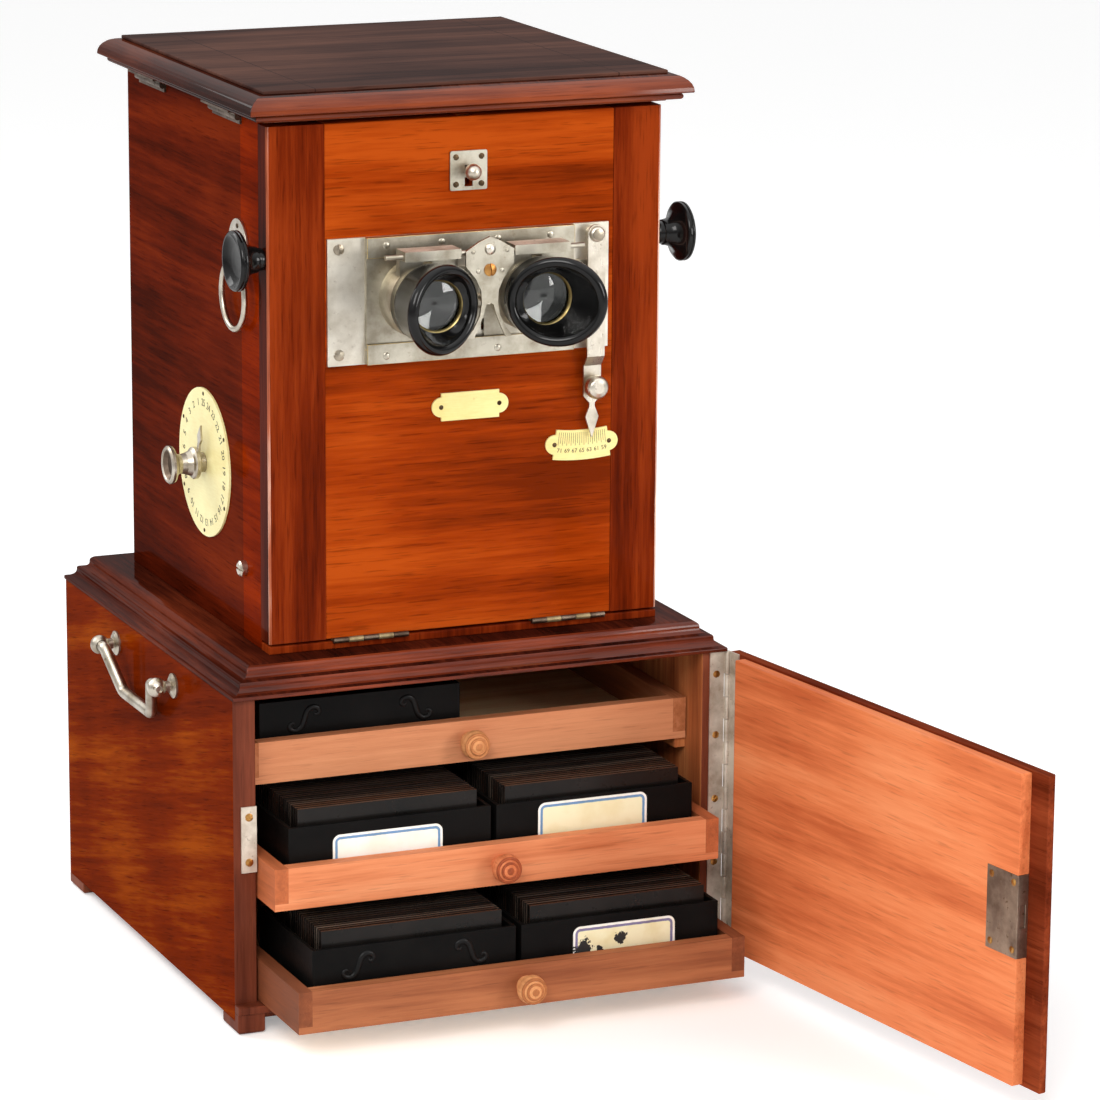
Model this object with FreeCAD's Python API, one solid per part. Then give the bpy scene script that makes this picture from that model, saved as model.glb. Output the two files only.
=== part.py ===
import FreeCAD, Part
import math
import os
from FreeCAD import Vector as V

# Tabletop stereo slide viewer on a slide cabinet. Millimetres, +Z up, front towards -Y.
# The origin is on the floor, under the middle of the cabinet.

# Lower cabinet
foot_h = 6.5            # height of the pads under the cabinet
foot_w = 16.0           # width of a pad across the cabinet
foot_l = 26.0           # length of a pad, front to back
cab_w = 298.0           # outside width of the cabinet
cab_d = 300.0           # depth of the cabinet sides
cab_h = 185.0           # height of the cabinet sides
side_t = 13.5           # thickness of the cabinet sides
cab_back_t = 9.0        # thickness of the cabinet back
floor_t = 9.5           # thickness of the cabinet floor
ledge_out = 7.0         # reach of the front ledge past the sides
ledge_t = 4.5           # thickness of the front ledge
slide_gap = 1.0         # side clearance of a drawer
fit_gap = 0.3           # clearance between neighbouring pieces that move
seat_gap = 0.05         # running clearance of a pin or shaft, on the radius

# Base moulding, the board between cabinet and viewer
mould_h = 16.5          # height of the moulded board
mould_w = 18.6          # width of its moulded edge
mould_over = 0.7        # overhang past the cabinet sides and back
mould_front = 3.6       # overhang past the cabinet front

# Viewer case
case_w = 235.0          # outside width of the viewer case
case_step = 72.6        # how much shallower the viewer case is than the cabinet
case_t = 10.0           # thickness of the case sides and back
sill_h = 4.5            # height of the sill under the drop front
drop_gap = 1.4          # gap under the drop front, filled by its hinge leaves
sill_d = 16.0           # depth of the sill
window_w = 150.0        # ground glass window in the back, width
window_h = 120.0        # ground glass window, height
glass_t = 2.0           # thickness of the ground glass
septum_t = 3.0          # thickness of the wall between the two views

# Drop front
front_out = 10.3        # distance of the drop front's face before the case
front_t = 13.5          # thickness of the drop front
front_h = 289.6         # height of the drop front
front_round = 1.5       # rounding of its outer front edges
cramp_left = 33.5       # width of the left end cramp
cramp_right = 29.0      # width of the right end cramp
leaf_t = 1.2            # thickness of the lid hinge leaves

# Lid
lid_gap = 2.5           # gap between drop front and lid
lid_h = 15.5            # height of the moulded part of the lid
lid_over = 14.0         # overhang of the lid all round
lid_plate_t = 2.0       # thickness of the raised top panel
lid_plate_over = 2.6    # overhang of the raised top panel past the case

# Lens unit
lens_mid = 0.8          # middle of the lens unit, across the front
lens_drop = 98.0        # distance of the lens axes below the top of the drop front
lens_pitch = 65.0       # distance between the lens axes at rest
pupil_step = 3.5        # travel of each lens to either side
plate_w = 168.0         # width of the nickel lens plate
plate_h = 71.0          # height of the nickel lens plate
plate_t = 2.0           # thickness of the lens plate
rail_l = 124.0          # length of the slide rails
rail_h = 10.0           # height of a slide rail
rail_lip = 1.5          # thickness and reach of the rail's lip
carriage_t = 2.0        # thickness of a lens carriage
tube_r = 20.0           # outside radius of a lens tube
tube_wall = 1.5         # wall of a lens tube
tube_front = 36.0       # reach of a lens tube in front of the drop front
tube_back = 14.0        # reach of a lens tube behind the face of the drop front
sleeve_wall = 2.0       # wall of the carriage sleeve
sleeve_out = 21.0       # reach of the carriage sleeve in front of the drop front
cup_r = 27.0            # outside radius of an eyecup at its rim
cup_wall = 4.4          # wall of an eyecup
cup_nose = 38.0         # reach of an eyecup on the nose side
cup_temple = 62.0       # reach of an eyecup on the temple side
glass_r = 17.5          # radius of an eye lens
bridge_out = 30.5       # distance of the bridge plate from the drop front
rod_r = 1.5             # radius of the rod that keeps the carriages level
rod_l = 118.0           # length of that rod
rod_rise = 26.5         # height of that rod above the lens axes
rod_out = 25.0          # distance of that rod from the drop front
bridge_half = 14.2      # half the width of the bridge at its shoulders
bridge_t = 1.5          # thickness of the bridge plate
block_half = 16.5       # half the width of the blocks that run on the rod

# Focusing drive
focus_rise = 24.5       # height of the focusing shaft above the lens axes
focus_r = 2.5           # radius of the focusing shaft
pinion_teeth = 12       # teeth of a focusing pinion
pinion_module = 0.5     # module of the focusing teeth
pinion_l = 14.0         # length of a focusing pinion
rack_w = 5.0            # width of a focusing rack
rack_l = 24.0           # length of a focusing rack
focus_travel = 5.0      # travel of the lenses each way
knob_r = 16.8           # radius of a focusing knob
knob_out = 17.8         # reach of a focusing knob past the drop front

# Pupil distance lever
lever_x = 74.5          # lever pivot, across the front
lever_rise = 29.1       # lever pivot, height above the lens axes
lever_w = 10.5          # width of the lever
lever_t = 1.5           # thickness of the lever
lever_arm = 22.0        # distance of the drive pin below the pivot
lever_knob = 87.0       # distance of the finger knob below the pivot
finger_len = 11.0       # length of the finger knob
finger_r = 6.6          # radius of the finger knob
lever_len = 117.0       # length of the lever from pivot to pointer tip
rocker_arm = 12.0       # arm of the rocker that crosses the motion over
pointer_neck = 20.0     # distance of the pointer's neck above its tip
pointer_head = 12.0     # length of the pointer's arrow head
pointer_half = 4.0      # half the width of the arrow head

# Catch on the drop front
catch_w = 22.0          # side of the square catch plate
catch_drop = 30.0       # distance of the catch plate's middle below the top of the drop front
catch_travel = 6.0      # travel of the catch bolt
ivory_t = 1.2           # thickness of the two ivory plates
ear_r = 5.6             # radius of the ears at their ends
name_w = 34.8           # width of the bare nameplate between its ears
name_h = 15.8           # height of the bare nameplate
name_mid = 1.9          # middle of the nameplate, across the front
name_drop = 64.5        # distance of the nameplate below the lens axes
scale_in = 113.0        # inner radius of the scale plate
scale_out = 130.2       # outer radius of the scale plate
scale_half = 7.8        # half the angle of the scale plate, in degrees
scale_shift = 4.6       # distance of the scale's centre from the lever pivot

# Slide dial
dial_y = -19.3          # dial centre, front to back
dial_z = 296.3          # dial centre, height
dial_r = 42.8           # radius of the ivory dial
dial_shaft_r = 4.0      # radius of the dial shaft
dial_teeth = 28         # teeth of the dial pinion
dial_module = 1.0       # module of the dial pinion
dial_pinion_t = 6.0     # thickness of the dial pinion
dial_turn = 150.0       # turn of the dial hand each way, in degrees
dial_reach = 23.4       # reach of the dial knob past the case
hand_l = 24.0           # length of the dial hand
hand_t = 1.2            # thickness of the dial hand
hand_out = 3.0          # distance of the hand in front of the dial
hand_lean = 17.0        # lean of the hand to the front, in degrees

# Slide tray carriage inside the viewer
slide_w = 107.0         # width of a stereo slide
view_w = 42.0           # width of one view in the gate
slide_h = 45.0          # height of a stereo slide
slide_t = 1.8           # thickness of a stereo slide
carrier_l = 92.0        # length of the tray carriage
carrier_t = 5.0         # thickness of the carriage floor and walls
carrier_y = -15.0       # middle of the tray carriage at rest

# Drawers
drawer_h = 24.0         # height of a drawer
drawer_wall = 8.0       # thickness of drawer fronts and sides
drawer_extra = 1.0      # height that each drawer's level takes from the room over the top drawer
drawer_floor_t = 4.0    # thickness of a drawer floor
drawer_set_back = 22.0  # distance of a closed drawer behind the cabinet front
drawer_out = [2.0, 49.0, 86.0]   # how far top, middle and bottom drawer stand out
drawer_lift = 1.0       # height of the bottom drawer above the cabinet floor
knob_disc_r = 8.3       # radius of a drawer knob
knob_len = 15.0         # length of a drawer knob
runner_w = 7.0          # width of a drawer runner
runner_h = 6.0          # height of a drawer runner

# Slide trays in the drawers
tray_side = 4.0         # gap between a tray and the drawer side
tray_l = 86.0           # length of a slide tray
tray_head = 20.0        # height from the top of a tray to the next level
tray_wall = 2.5         # wall of a slide tray
tray_floor = 3.5        # floor of a slide tray
tray_gap = 2.5          # gap between a tray and the drawer front
tray_step = 1.5         # distance of a tray from the drawer's middle
slide_play = 4.5        # room at each end of the slides in a tray
slide_count = 22        # slides in a full tray
slide_pitch = 3.4       # pitch of the slides in a tray

# Cabinet door
door_open = 98.7        # how far the door stands open, in degrees
door_lip_t = 6.0        # thickness of the lip that covers the stiles
door_inset_t = 5.0      # thickness of the part that enters the opening
door_seat = 2.0         # gap between lip and stile, taken up by the hinge
hinge_r = 1.7           # radius of the long hinge's knuckles
hinge_pin_r = 0.8       # radius of the hinge pins
hinge_leaf_w = 9.0      # width of a leaf of the long hinge
hinge_leaf_t = 0.8      # thickness of a leaf of the long hinge
hinge_knuckles = 13     # knuckles of the long hinge
lock_w = 27.0           # width of the lock
lock_h = 46.0           # height of the lock
lock_t = 7.0            # depth of the lock
lock_wall = 1.2         # wall of the lock case
bolt_travel = 5.0       # travel of the lock bolt
lock_rise = 7.5         # height of the lock above the middle of the door

# Bail handles, one on each side of the cabinet
handle_y = 0.0          # middle of a handle, front to back
handle_below = 16.0     # distance of the handle posts below the top of the cabinet
handle_pitch = 103.0    # distance between the posts
handle_drop = 22.5      # drop of the bar below the posts
handle_inset = 20.0     # how far each arm leans in
handle_lean = 5.5       # how far the bar hangs back towards the side
handle_off = 10.5       # distance of the ball from the cabinet side
handle_r = 3.4          # radius of the bar
handle_bend = 7.0       # radius of its bends, along the middle
ball_r = 5.6            # radius of the balls on the posts
rosette_r = 7.2         # radius of the rosettes

# Drop ring on the left of the viewer
ring_back = 44.0        # distance of the ring's centre behind the drop front's face
ring_eye_z = 422.5      # height of the eye that holds the ring
ring_r = 18.8           # radius of the ring to the middle of the wire
ring_wire = 1.7         # radius of the ring wire
ring_plate_w = 29.0     # width of the oval plate
ring_plate_h = 30.0     # height of the oval plate
stud_back = 39.0        # distance of the slotted stud behind the drop front's face
stud_rise = 41.0        # height of the slotted stud above the base moulding
stud_r = 4.5            # radius of the slotted stud

# Butt hinges
butt_l = 45.0           # length of a butt hinge
butt_r = 1.9            # radius of the lid hinges' knuckles
butt_leaf = 4.0         # width of a lid hinge's leaf
drop_r = 1.6            # radius of the drop front hinges' knuckles
drop_leaf = 8.0         # width of a drop front hinge's leaf
lid_hinge_y = (66.0, -62.0)      # middles of the lid hinges
drop_hinge_x = (-58.0, 62.0)     # middles of the drop front hinges

# Levels and planes that follow from the sizes above
case_d = cab_d - case_step
cab_z = foot_h + cab_h
handle_z = cab_z - handle_below
base_z = cab_z + mould_h
front_z = base_z + sill_h + drop_gap
front_top = front_z + front_h
catch_z = front_top - catch_drop
lens_z = front_top - lens_drop
focus_z = lens_z + focus_rise
lever_z = lens_z + lever_rise
lid_z = front_top + lid_gap
inner_x = cab_w / 2 - side_t
floor_z = foot_h + floor_t
front_y = -cab_d / 2
face_y = -case_d / 2 - front_out
case_front = face_y + front_t + fit_gap
stud_y = face_y + stud_back
stud_z = base_z + stud_rise
ring_y = face_y + ring_back
half_case = case_w / 2
drawer_pitch = (cab_h - floor_t) / len(drawer_out) + drawer_extra
tray_w = inner_x - slide_gap - drawer_wall - tray_step - tray_side
tray_h = drawer_pitch - tray_head
tray_slide_w = tray_w - 2 * tray_wall - 2 * slide_play
X, Y, Z = V(1, 0, 0), V(0, 1, 0), V(0, 0, 1)


def box(x0, x1, y0, y1, z0, z1):
    """A block between two corners."""
    return Part.makeBox(x1 - x0, y1 - y0, z1 - z0, V(x0, y0, z0))


def rod(radius, start, end):
    """A round bar between two points."""
    axis = V(*end) - V(*start)
    return Part.makeCylinder(radius, axis.Length, V(*start), axis)


def tube(outer, inner, start, end):
    """A round pipe between two points."""
    return rod(outer, start, end).cut(rod(inner, start, end))


def prism(points, direction):
    """A flat outline of points, pushed along a direction."""
    corners = [V(*p) for p in points]
    return Part.Face(Part.makePolygon(corners + corners[:1])).extrude(V(*direction))


def turned(profile, start, axis):
    """A turned piece: (distance along the axis, radius) pairs spun round the axis."""
    points = [V(0, 0, profile[0][0])] + [V(r, 0, d) for d, r in profile] + [V(0, 0, profile[-1][0])]
    clean = [p for i, p in enumerate(points) if i == 0 or (p - points[i - 1]).Length > 1e-6]
    body = Part.Face(Part.makePolygon(clean + clean[:1])).revolve(V(), Z, 360)
    body.Placement = FreeCAD.Placement(V(*start), FreeCAD.Rotation(Z, V(*axis)))
    return body


def rounded(shape, radius, pick):
    """Rounds the straight edges that the test picks, by their middle point and direction."""
    edges = []
    for edge in shape.Edges:
        ends = [v.Point for v in edge.Vertexes]
        if len(ends) == 2 and pick((ends[0] + ends[1]) * 0.5, (ends[1] - ends[0]).normalize()):
            edges.append(edge)
    return shape.makeFillet(radius, edges)


def arc_points(centre, radius, start, end, steps):
    """Points along an arc, in degrees."""
    angles = [math.radians(start + (end - start) * i / steps) for i in range(steps + 1)]
    return [(centre[0] + radius[0] * math.cos(a), centre[1] + radius[1] * math.sin(a)) for a in angles]


def moulded_board(x0, x1, y0, y1, z0, edge):
    """A board with the same moulded edge on four sides: two crossed extrusions, mitred at the corners.
    The edge is a list of (inset, height) pairs from the underside up."""
    across = [(0, y0 + i, z0 + h) for i, h in edge] + [(0, y1 - i, z0 + h) for i, h in reversed(edge)]
    along = [(x0 + i, 0, z0 + h) for i, h in edge] + [(x1 - i, 0, z0 + h) for i, h in reversed(edge)]
    first = prism(across, (x1 - x0, 0, 0))
    first.translate(V(x0, 0, 0))
    second = prism(along, (0, y1 - y0, 0))
    second.translate(V(0, y0, 0))
    return first.common(second)


def gear(teeth, module, length, start, axis, turn):
    """A spur pinion with straight-sided teeth and some play."""
    pitch = teeth * module / 2
    root, tip = pitch - 1.2 * module, pitch + 0.8 * module
    half_root, half_tip = 0.29 * math.pi * module / root, 0.11 * math.pi * module / tip
    points = []
    for i in range(teeth):
        mid = math.radians(turn) + 2 * math.pi * i / teeth
        for r, a in ((root, -half_root), (tip, -half_tip), (tip, half_tip), (root, half_root)):
            points.append((r * math.cos(mid + a), r * math.sin(mid + a), 0))
    body = prism(points, (0, 0, length))
    body.Placement = FreeCAD.Placement(V(*start), FreeCAD.Rotation(Z, V(*axis)))
    return body


def rack(length, width, module, depth, start, tooth_at):
    """A straight rack along Y with its teeth up: start is its low corner, tooth_at the middle of one tooth."""
    x0, y0, z0 = start
    pitch = math.pi * module
    root, tip = z0 + depth, z0 + depth + 2.0 * module
    points = [(x0, y0, z0), (x0, y0, root)]
    first = math.ceil((y0 + pitch / 2 - tooth_at) / pitch)
    last = math.floor((y0 + length - pitch / 2 - tooth_at) / pitch)
    for i in range(first, last + 1):
        mid = tooth_at + i * pitch
        points += [(x0, mid - 0.29 * pitch, root), (x0, mid - 0.11 * pitch, tip)]
        points += [(x0, mid + 0.11 * pitch, tip), (x0, mid + 0.29 * pitch, root)]
    points += [(x0, y0 + length, root), (x0, y0 + length, z0)]
    return prism(points, (width, 0, 0))


def knuckles(count, length, radius, pin, odd, start, axis):
    """One leaf's share of a hinge barrel. The even share carries the pin, the odd one runs on it."""
    run = length / count
    shapes = []
    for i in range(odd, count, 2):
        a = V(*start) + V(*axis) * (i * run + fit_gap / 2)
        b = V(*start) + V(*axis) * ((i + 1) * run - fit_gap / 2)
        shapes.append(tube(radius, pin + seat_gap, a, b) if odd else rod(radius, a, b))
    if not odd:
        shapes.append(rod(pin, V(*start), V(*start) + V(*axis) * length))
    return shapes


def clear_barrel(shape, count, length, radius, odd, start, axis):
    """Cuts the other leaf's knuckles out of a leaf, with room to turn."""
    run = length / count
    for i in range(1 - odd, count, 2):
        a = V(*start) + V(*axis) * (i * run - fit_gap / 2)
        b = V(*start) + V(*axis) * ((i + 1) * run + fit_gap / 2)
        shape = shape.cut(rod(radius + fit_gap, a, b))
    return shape


def joined(shapes):
    """Several shapes fused into one clean solid."""
    whole = shapes[0].multiFuse(shapes[1:]) if len(shapes) > 1 else shapes[0]
    return whole.removeSplitter()


def bent_bar(path, radius, bend):
    """A round bar along straight runs, with a bend of one radius at each corner."""
    edges = []
    start = path[0]
    for i in range(1, len(path) - 1):
        before, after = (path[i - 1] - path[i]).normalize(), (path[i + 1] - path[i]).normalize()
        half_angle = before.getAngle(after) / 2
        shorter = min((path[i] - path[i - 1]).Length, (path[i + 1] - path[i]).Length)
        back = min(bend / math.tan(half_angle), 0.45 * shorter)
        inward = back / math.cos(half_angle) - back * math.tan(half_angle)
        middle = path[i] + (before + after).normalize() * inward
        first, last = path[i] + before * back, path[i] + after * back
        edges.append(Part.LineSegment(start, first).toShape())
        edges.append(Part.Arc(first, middle, last).toShape())
        start = last
    edges.append(Part.LineSegment(start, path[-1]).toShape())
    ring = Part.Wire(Part.makeCircle(radius, path[0], path[1] - path[0]))
    return Part.Wire(edges).makePipeShell([ring], True, False)


nodes = {}


def keep(name, *shapes):
    """Stores a node: one solid, or a group of separate solids."""
    nodes[name] = shapes[0] if len(shapes) == 1 else Part.makeCompound(list(shapes))


# Lower cabinet: two sides, back, floor with its front ledge, runners and feet
half_cab = cab_w / 2
cab_back = cab_d / 2
side = box(-half_cab, -inner_x, front_y, cab_back, foot_h, cab_z)
keep("lower_sides", side, side.mirror(V(), X))
keep("lower_back", box(-inner_x, inner_x, cab_back - cab_back_t, cab_back, foot_h, cab_z))
ledge = box(-half_cab, half_cab, front_y - ledge_out, front_y, floor_z - ledge_t, floor_z)
floor = box(-inner_x, inner_x, front_y, cab_back - cab_back_t, foot_h, floor_z)
keep("lower_floor", joined([floor, ledge]))
drawer_zs = [floor_z + drawer_lift + drawer_pitch * (2 - i) for i in range(3)]
drawer_len = cab_d - drawer_set_back - cab_back_t - slide_gap
runners = []
for z in drawer_zs[:2]:
    for x0, x1 in ((-inner_x, -inner_x + runner_w), (inner_x - runner_w, inner_x)):
        runners.append(box(x0, x1, front_y + drawer_set_back, cab_back - cab_back_t,
                           z - fit_gap - runner_h, z - fit_gap))
keep("drawer_runners", *runners)
feet = []
for sx in (-1, 1):
    for y0, front in ((front_y - ledge_out + 1, True), (cab_back - foot_l, False)):
        x0, x1 = sorted((sx * half_cab, sx * (half_cab - foot_w)))
        pad = box(x0, x1, y0, y0 + foot_l, 0, foot_h)
        pad = rounded(pad, 2.0, lambda m, d: m.z < 0.1)
        if front:
            pad = pad.fuse(box(x0, x1, y0, front_y, foot_h, floor_z - ledge_t))
        feet.append(pad.removeSplitter())
keep("feet", *feet)

# Base moulding: lip, cove, bead, hollow and a shallow top round on all four edges
base_edge = [(0, 0), (0, 2.3)]
base_edge += arc_points((0, 7.0), (6.1, 4.7), -90, 0, 6)[1:]
base_edge += [(6.1, 8.0), (6.5, 8.8), (7.5, 9.0)]
base_edge += arc_points((7.5, 12.0), (4.7, 3.0), -90, 0, 5)[1:]
base_edge += [(12.2, 13.2)]
base_edge += arc_points((mould_w, 13.2), (mould_w - 12.2, mould_h - 13.2), 180, 90, 5)[1:]
keep("base_moulding", moulded_board(-half_cab - mould_over, half_cab + mould_over, front_y - mould_front,
                                    cab_back + mould_over, cab_z, base_edge))

# Viewer case: sides, back with its window, sill, ground glass and the wall between the views
case_top = lid_z - fit_gap
case_back = case_d / 2
left = box(-half_case, -half_case + case_t, case_front, case_back, base_z, case_top)
right = left.mirror(V(), X)
left = left.cut(rod(dial_shaft_r + seat_gap, (-half_case - 1, dial_y, dial_z),
                    (-half_case + case_t + 1, dial_y, dial_z)))
keep("case_sides", left, right)
inner_case = half_case - case_t
back_y = case_back - case_t
window = [-window_w / 2, window_w / 2, lens_z - window_h / 2, lens_z + window_h / 2]
back = box(-inner_case, inner_case, back_y, case_back, base_z, case_top)
back = back.cut(box(window[0], window[1], back_y - 1, case_back + 1, window[2], window[3]))
rebate = 5.0
glass_box = (window[0] - rebate, window[1] + rebate, window[2] - rebate, window[3] + rebate)
back = back.cut(box(glass_box[0], glass_box[1], back_y - 1, back_y + glass_t, glass_box[2], glass_box[3]))
keep("case_back", back)
keep("screen_glass", box(glass_box[0], glass_box[1], back_y, back_y + glass_t, glass_box[2], glass_box[3]))
keep("case_sill", box(-half_case, half_case, face_y, case_front, base_z, base_z + sill_h))
carrier_z = base_z + carrier_t + fit_gap
gate_z = lens_z - slide_h / 2
gate_y = carrier_y
septum_y0 = case_front + tube_back + focus_travel
septum = box(-septum_t / 2, septum_t / 2, septum_y0, gate_y - slide_t - 2, gate_z - 10, gate_z + slide_h + 10)
septum.translate(V(lens_mid, 0, 0))
gate_w = slide_w / 2
gate = box(-inner_case, inner_case, gate_y - slide_t - 2, gate_y + slide_t, gate_z - 10, gate_z + slide_h + 10)
for sx in (-1, 1):
    view_x = lens_mid + sx * lens_pitch / 2
    gate = gate.cut(box(view_x - view_w / 2, view_x + view_w / 2, gate_y - 20, gate_y + 20,
                        gate_z + 2, gate_z + slide_h - 2))
gate = gate.cut(box(lens_mid - gate_w - 0.5, lens_mid + gate_w + 0.5, gate_y - slide_t / 2 - 0.5,
                    gate_y + slide_t / 2 + 0.5, gate_z - 11, gate_z + slide_h + 0.5))
rails = [box(x0, x1, case_front + sill_d, back_y, base_z, carrier_z - fit_gap)
         for x0, x1 in ((-inner_case, -inner_case + 12), (inner_case - 12, inner_case))]
keep("viewing_frame", joined([gate, septum]), *rails)

# Tray carriage: floor and walls with a rack on the left wall, and the slides that it holds
pitch_r = dial_teeth * dial_module / 2
rack_top = dial_z - pitch_r + dial_module
carrier_y0, carrier_y1 = carrier_y - carrier_l / 2, carrier_y + carrier_l / 2
carrier_x = inner_case - fit_gap - 1
wall_z = dial_z - pitch_r - dial_module - 3
carrier = [box(-carrier_x, carrier_x, carrier_y0, carrier_y1, carrier_z, carrier_z + carrier_t)]
carrier.append(box(-carrier_x, -carrier_x + dial_pinion_t + 2, carrier_y0, carrier_y1, carrier_z, wall_z))
carrier.append(rack(carrier_l, dial_pinion_t + 2, dial_module, 3.0 - 0.2 * dial_module,
                    (-carrier_x, carrier_y0, wall_z), dial_y))
for sx in (-1, 1):
    x0, x1 = sorted((lens_mid + sx * (slide_w / 2 + 1), lens_mid + sx * (slide_w / 2 + 1 + carrier_t)))
    carrier.append(box(x0, x1, carrier_y0, carrier_y1, carrier_z, carrier_z + carrier_t + slide_h - 8))
keep("tray_carriage", joined(carrier))
view_slides = []
count = int((carrier_l - 10) / slide_pitch)
for i in range(count):
    y = carrier_y + (i - (count - 1) / 2) * slide_pitch
    view_slides.append(box(lens_mid - slide_w / 2, lens_mid + slide_w / 2, y - slide_t / 2, y + slide_t / 2,
                           carrier_z + carrier_t, carrier_z + carrier_t + slide_h))
keep("view_slides", *view_slides)

# Slide dial: ivory plate, and the shaft with its knob, hand and pinion
dial_x = -half_case
plate = rod(dial_r, (dial_x - 1.2, dial_y, dial_z), (dial_x, dial_y, dial_z))
shaft_hole = rod(dial_shaft_r + 1, (dial_x - 2, dial_y, dial_z), (dial_x + 1, dial_y, dial_z))
keep("dial_plate", plate.cut(shaft_hole))
hand_x = dial_x - 1.2 - fit_gap
spindle = [rod(dial_shaft_r, (hand_x - 3, dial_y, dial_z), (-inner_case + 4 + dial_pinion_t, dial_y, dial_z))]
spindle.append(gear(dial_teeth, dial_module, dial_pinion_t, (-carrier_x + 1, dial_y, dial_z), (1, 0, 0),
                    180.0 / dial_teeth))
rim = dial_reach - 1.5
collar = hand_out + 0.6
knob_turn = [(0, 5.7), (collar, 5.7), (collar + 0.2, 8.6), (collar + 0.8, 9.2), (collar + 2.8, 9.2),
             (collar + 3.6, 8.6), (collar + 4.4, 7.4), (rim - 11.0, 6.2), (rim - 8.0, 5.6), (rim - 6.0, 5.9),
             (rim - 4.6, 8.0), (rim - 3.6, 10.2), (rim - 2.4, 11.0), (rim - 1.0, 10.9), (rim, 10.0),
             (rim, 8.9), (rim - 1.2, 8.0), (rim - 3.0, 6.8), (rim - 3.6, 3.0), (rim - 3.8, 0.5)]
spindle.append(turned(knob_turn, (hand_x, dial_y, dial_z), (-1, 0, 0)))
hand_line = [(-3.0, 0.0), (3.0, 0.0), (1.4, 0.52), (3.2, 0.68), (0.0, 1.0), (-3.2, 0.68), (-1.4, 0.52)]
hand = [(hand_x - hand_out, dial_y + y, dial_z + hand_l * z) for y, z in hand_line]
pointer_blade = prism(hand, (-hand_t, 0, 0))
pointer_blade.rotate(V(hand_x, dial_y, dial_z), X, hand_lean)
spindle.append(pointer_blade)
keep("dial_knob", joined(spindle))

# Lid: moulded board under a thin raised panel
lid_x = half_case + lid_over
lid_y0, lid_y1 = face_y - lid_over, case_back + lid_over
fillet_in = lid_over - 2.0
bead_in = 4.6
lid_edge = [(fillet_in, 0), (fillet_in, 1.4)]
lid_edge += arc_points((bead_in + 1.8, 3.2), (1.8, 1.8), 270, 90, 6)
lid_edge += [(2.6, 5.2), (0.0, 5.6)]
lid_edge += arc_points((lid_over - lid_plate_over, 6.4), (lid_over - lid_plate_over, lid_h - 6.4), 180, 90, 7)
keep("lid_moulding", moulded_board(-lid_x, lid_x, lid_y0, lid_y1, lid_z, lid_edge))
panel_x = half_case + lid_plate_over
keep("lid_panel", box(-panel_x, panel_x, face_y - lid_plate_over, case_back + lid_plate_over,
                      lid_z + lid_h, lid_z + lid_h + lid_plate_t))

# Butt hinges: the lid's on the left side, the drop front's along the sill
lid_axis_x = -half_case - butt_r - 0.2
lid_axis_z = lid_z - butt_r - 0.5
case_leaves, lid_leaves, drop_leaves = [], [], []
for mid in lid_hinge_y:
    start = (lid_axis_x, mid - butt_l / 2, lid_axis_z)
    leaf = box(-half_case - leaf_t, -half_case, mid - butt_l / 2, mid + butt_l / 2,
               lid_axis_z - butt_leaf, lid_axis_z)
    leaf = clear_barrel(leaf, 5, butt_l, butt_r, 0, start, (0, 1, 0))
    case_leaves.append(joined([leaf] + knuckles(5, butt_l, butt_r, hinge_pin_r, 0, start, (0, 1, 0))))
    bead_z = lid_z + 1.4
    leaf = box(lid_axis_x - butt_r - 4, lid_axis_x - 0.7, mid - butt_l / 2, mid + butt_l / 2,
               bead_z - leaf_t, bead_z)
    web = box(lid_axis_x - butt_r, lid_axis_x - hinge_pin_r - 0.3, mid - butt_l / 2, mid + butt_l / 2,
              lid_axis_z, bead_z)
    leaf = clear_barrel(leaf.fuse(web), 5, butt_l, butt_r, 1, start, (0, 1, 0))
    lid_leaves.append(joined([leaf] + knuckles(5, butt_l, butt_r, hinge_pin_r, 1, start, (0, 1, 0))))
drop_axis_y = face_y - drop_r - 0.1
drop_axis_z = front_z - drop_gap / 2
for mid in drop_hinge_x:
    start = (mid - butt_l / 2, drop_axis_y, drop_axis_z)
    for odd, z0, z1, group in ((0, front_z - drop_gap, drop_axis_z - 0.1, case_leaves),
                               (1, drop_axis_z + 0.1, front_z, drop_leaves)):
        leaf = box(mid - butt_l / 2, mid + butt_l / 2, drop_axis_y, face_y + drop_leaf, z0, z1)
        leaf = clear_barrel(leaf, 5, butt_l, drop_r, odd, start, (1, 0, 0))
        leaf = joined([leaf] + knuckles(5, butt_l, drop_r, hinge_pin_r, odd, start, (1, 0, 0)))
        if odd:
            leaf = leaf.cut(rod(hinge_pin_r + seat_gap, start, (mid + butt_l / 2, drop_axis_y, drop_axis_z)))
        group.append(leaf)
keep("case_hinge_leaves", *case_leaves)
keep("lid_hinge_leaves", *lid_leaves)
keep("drop_hinge_leaves", *drop_leaves)

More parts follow.
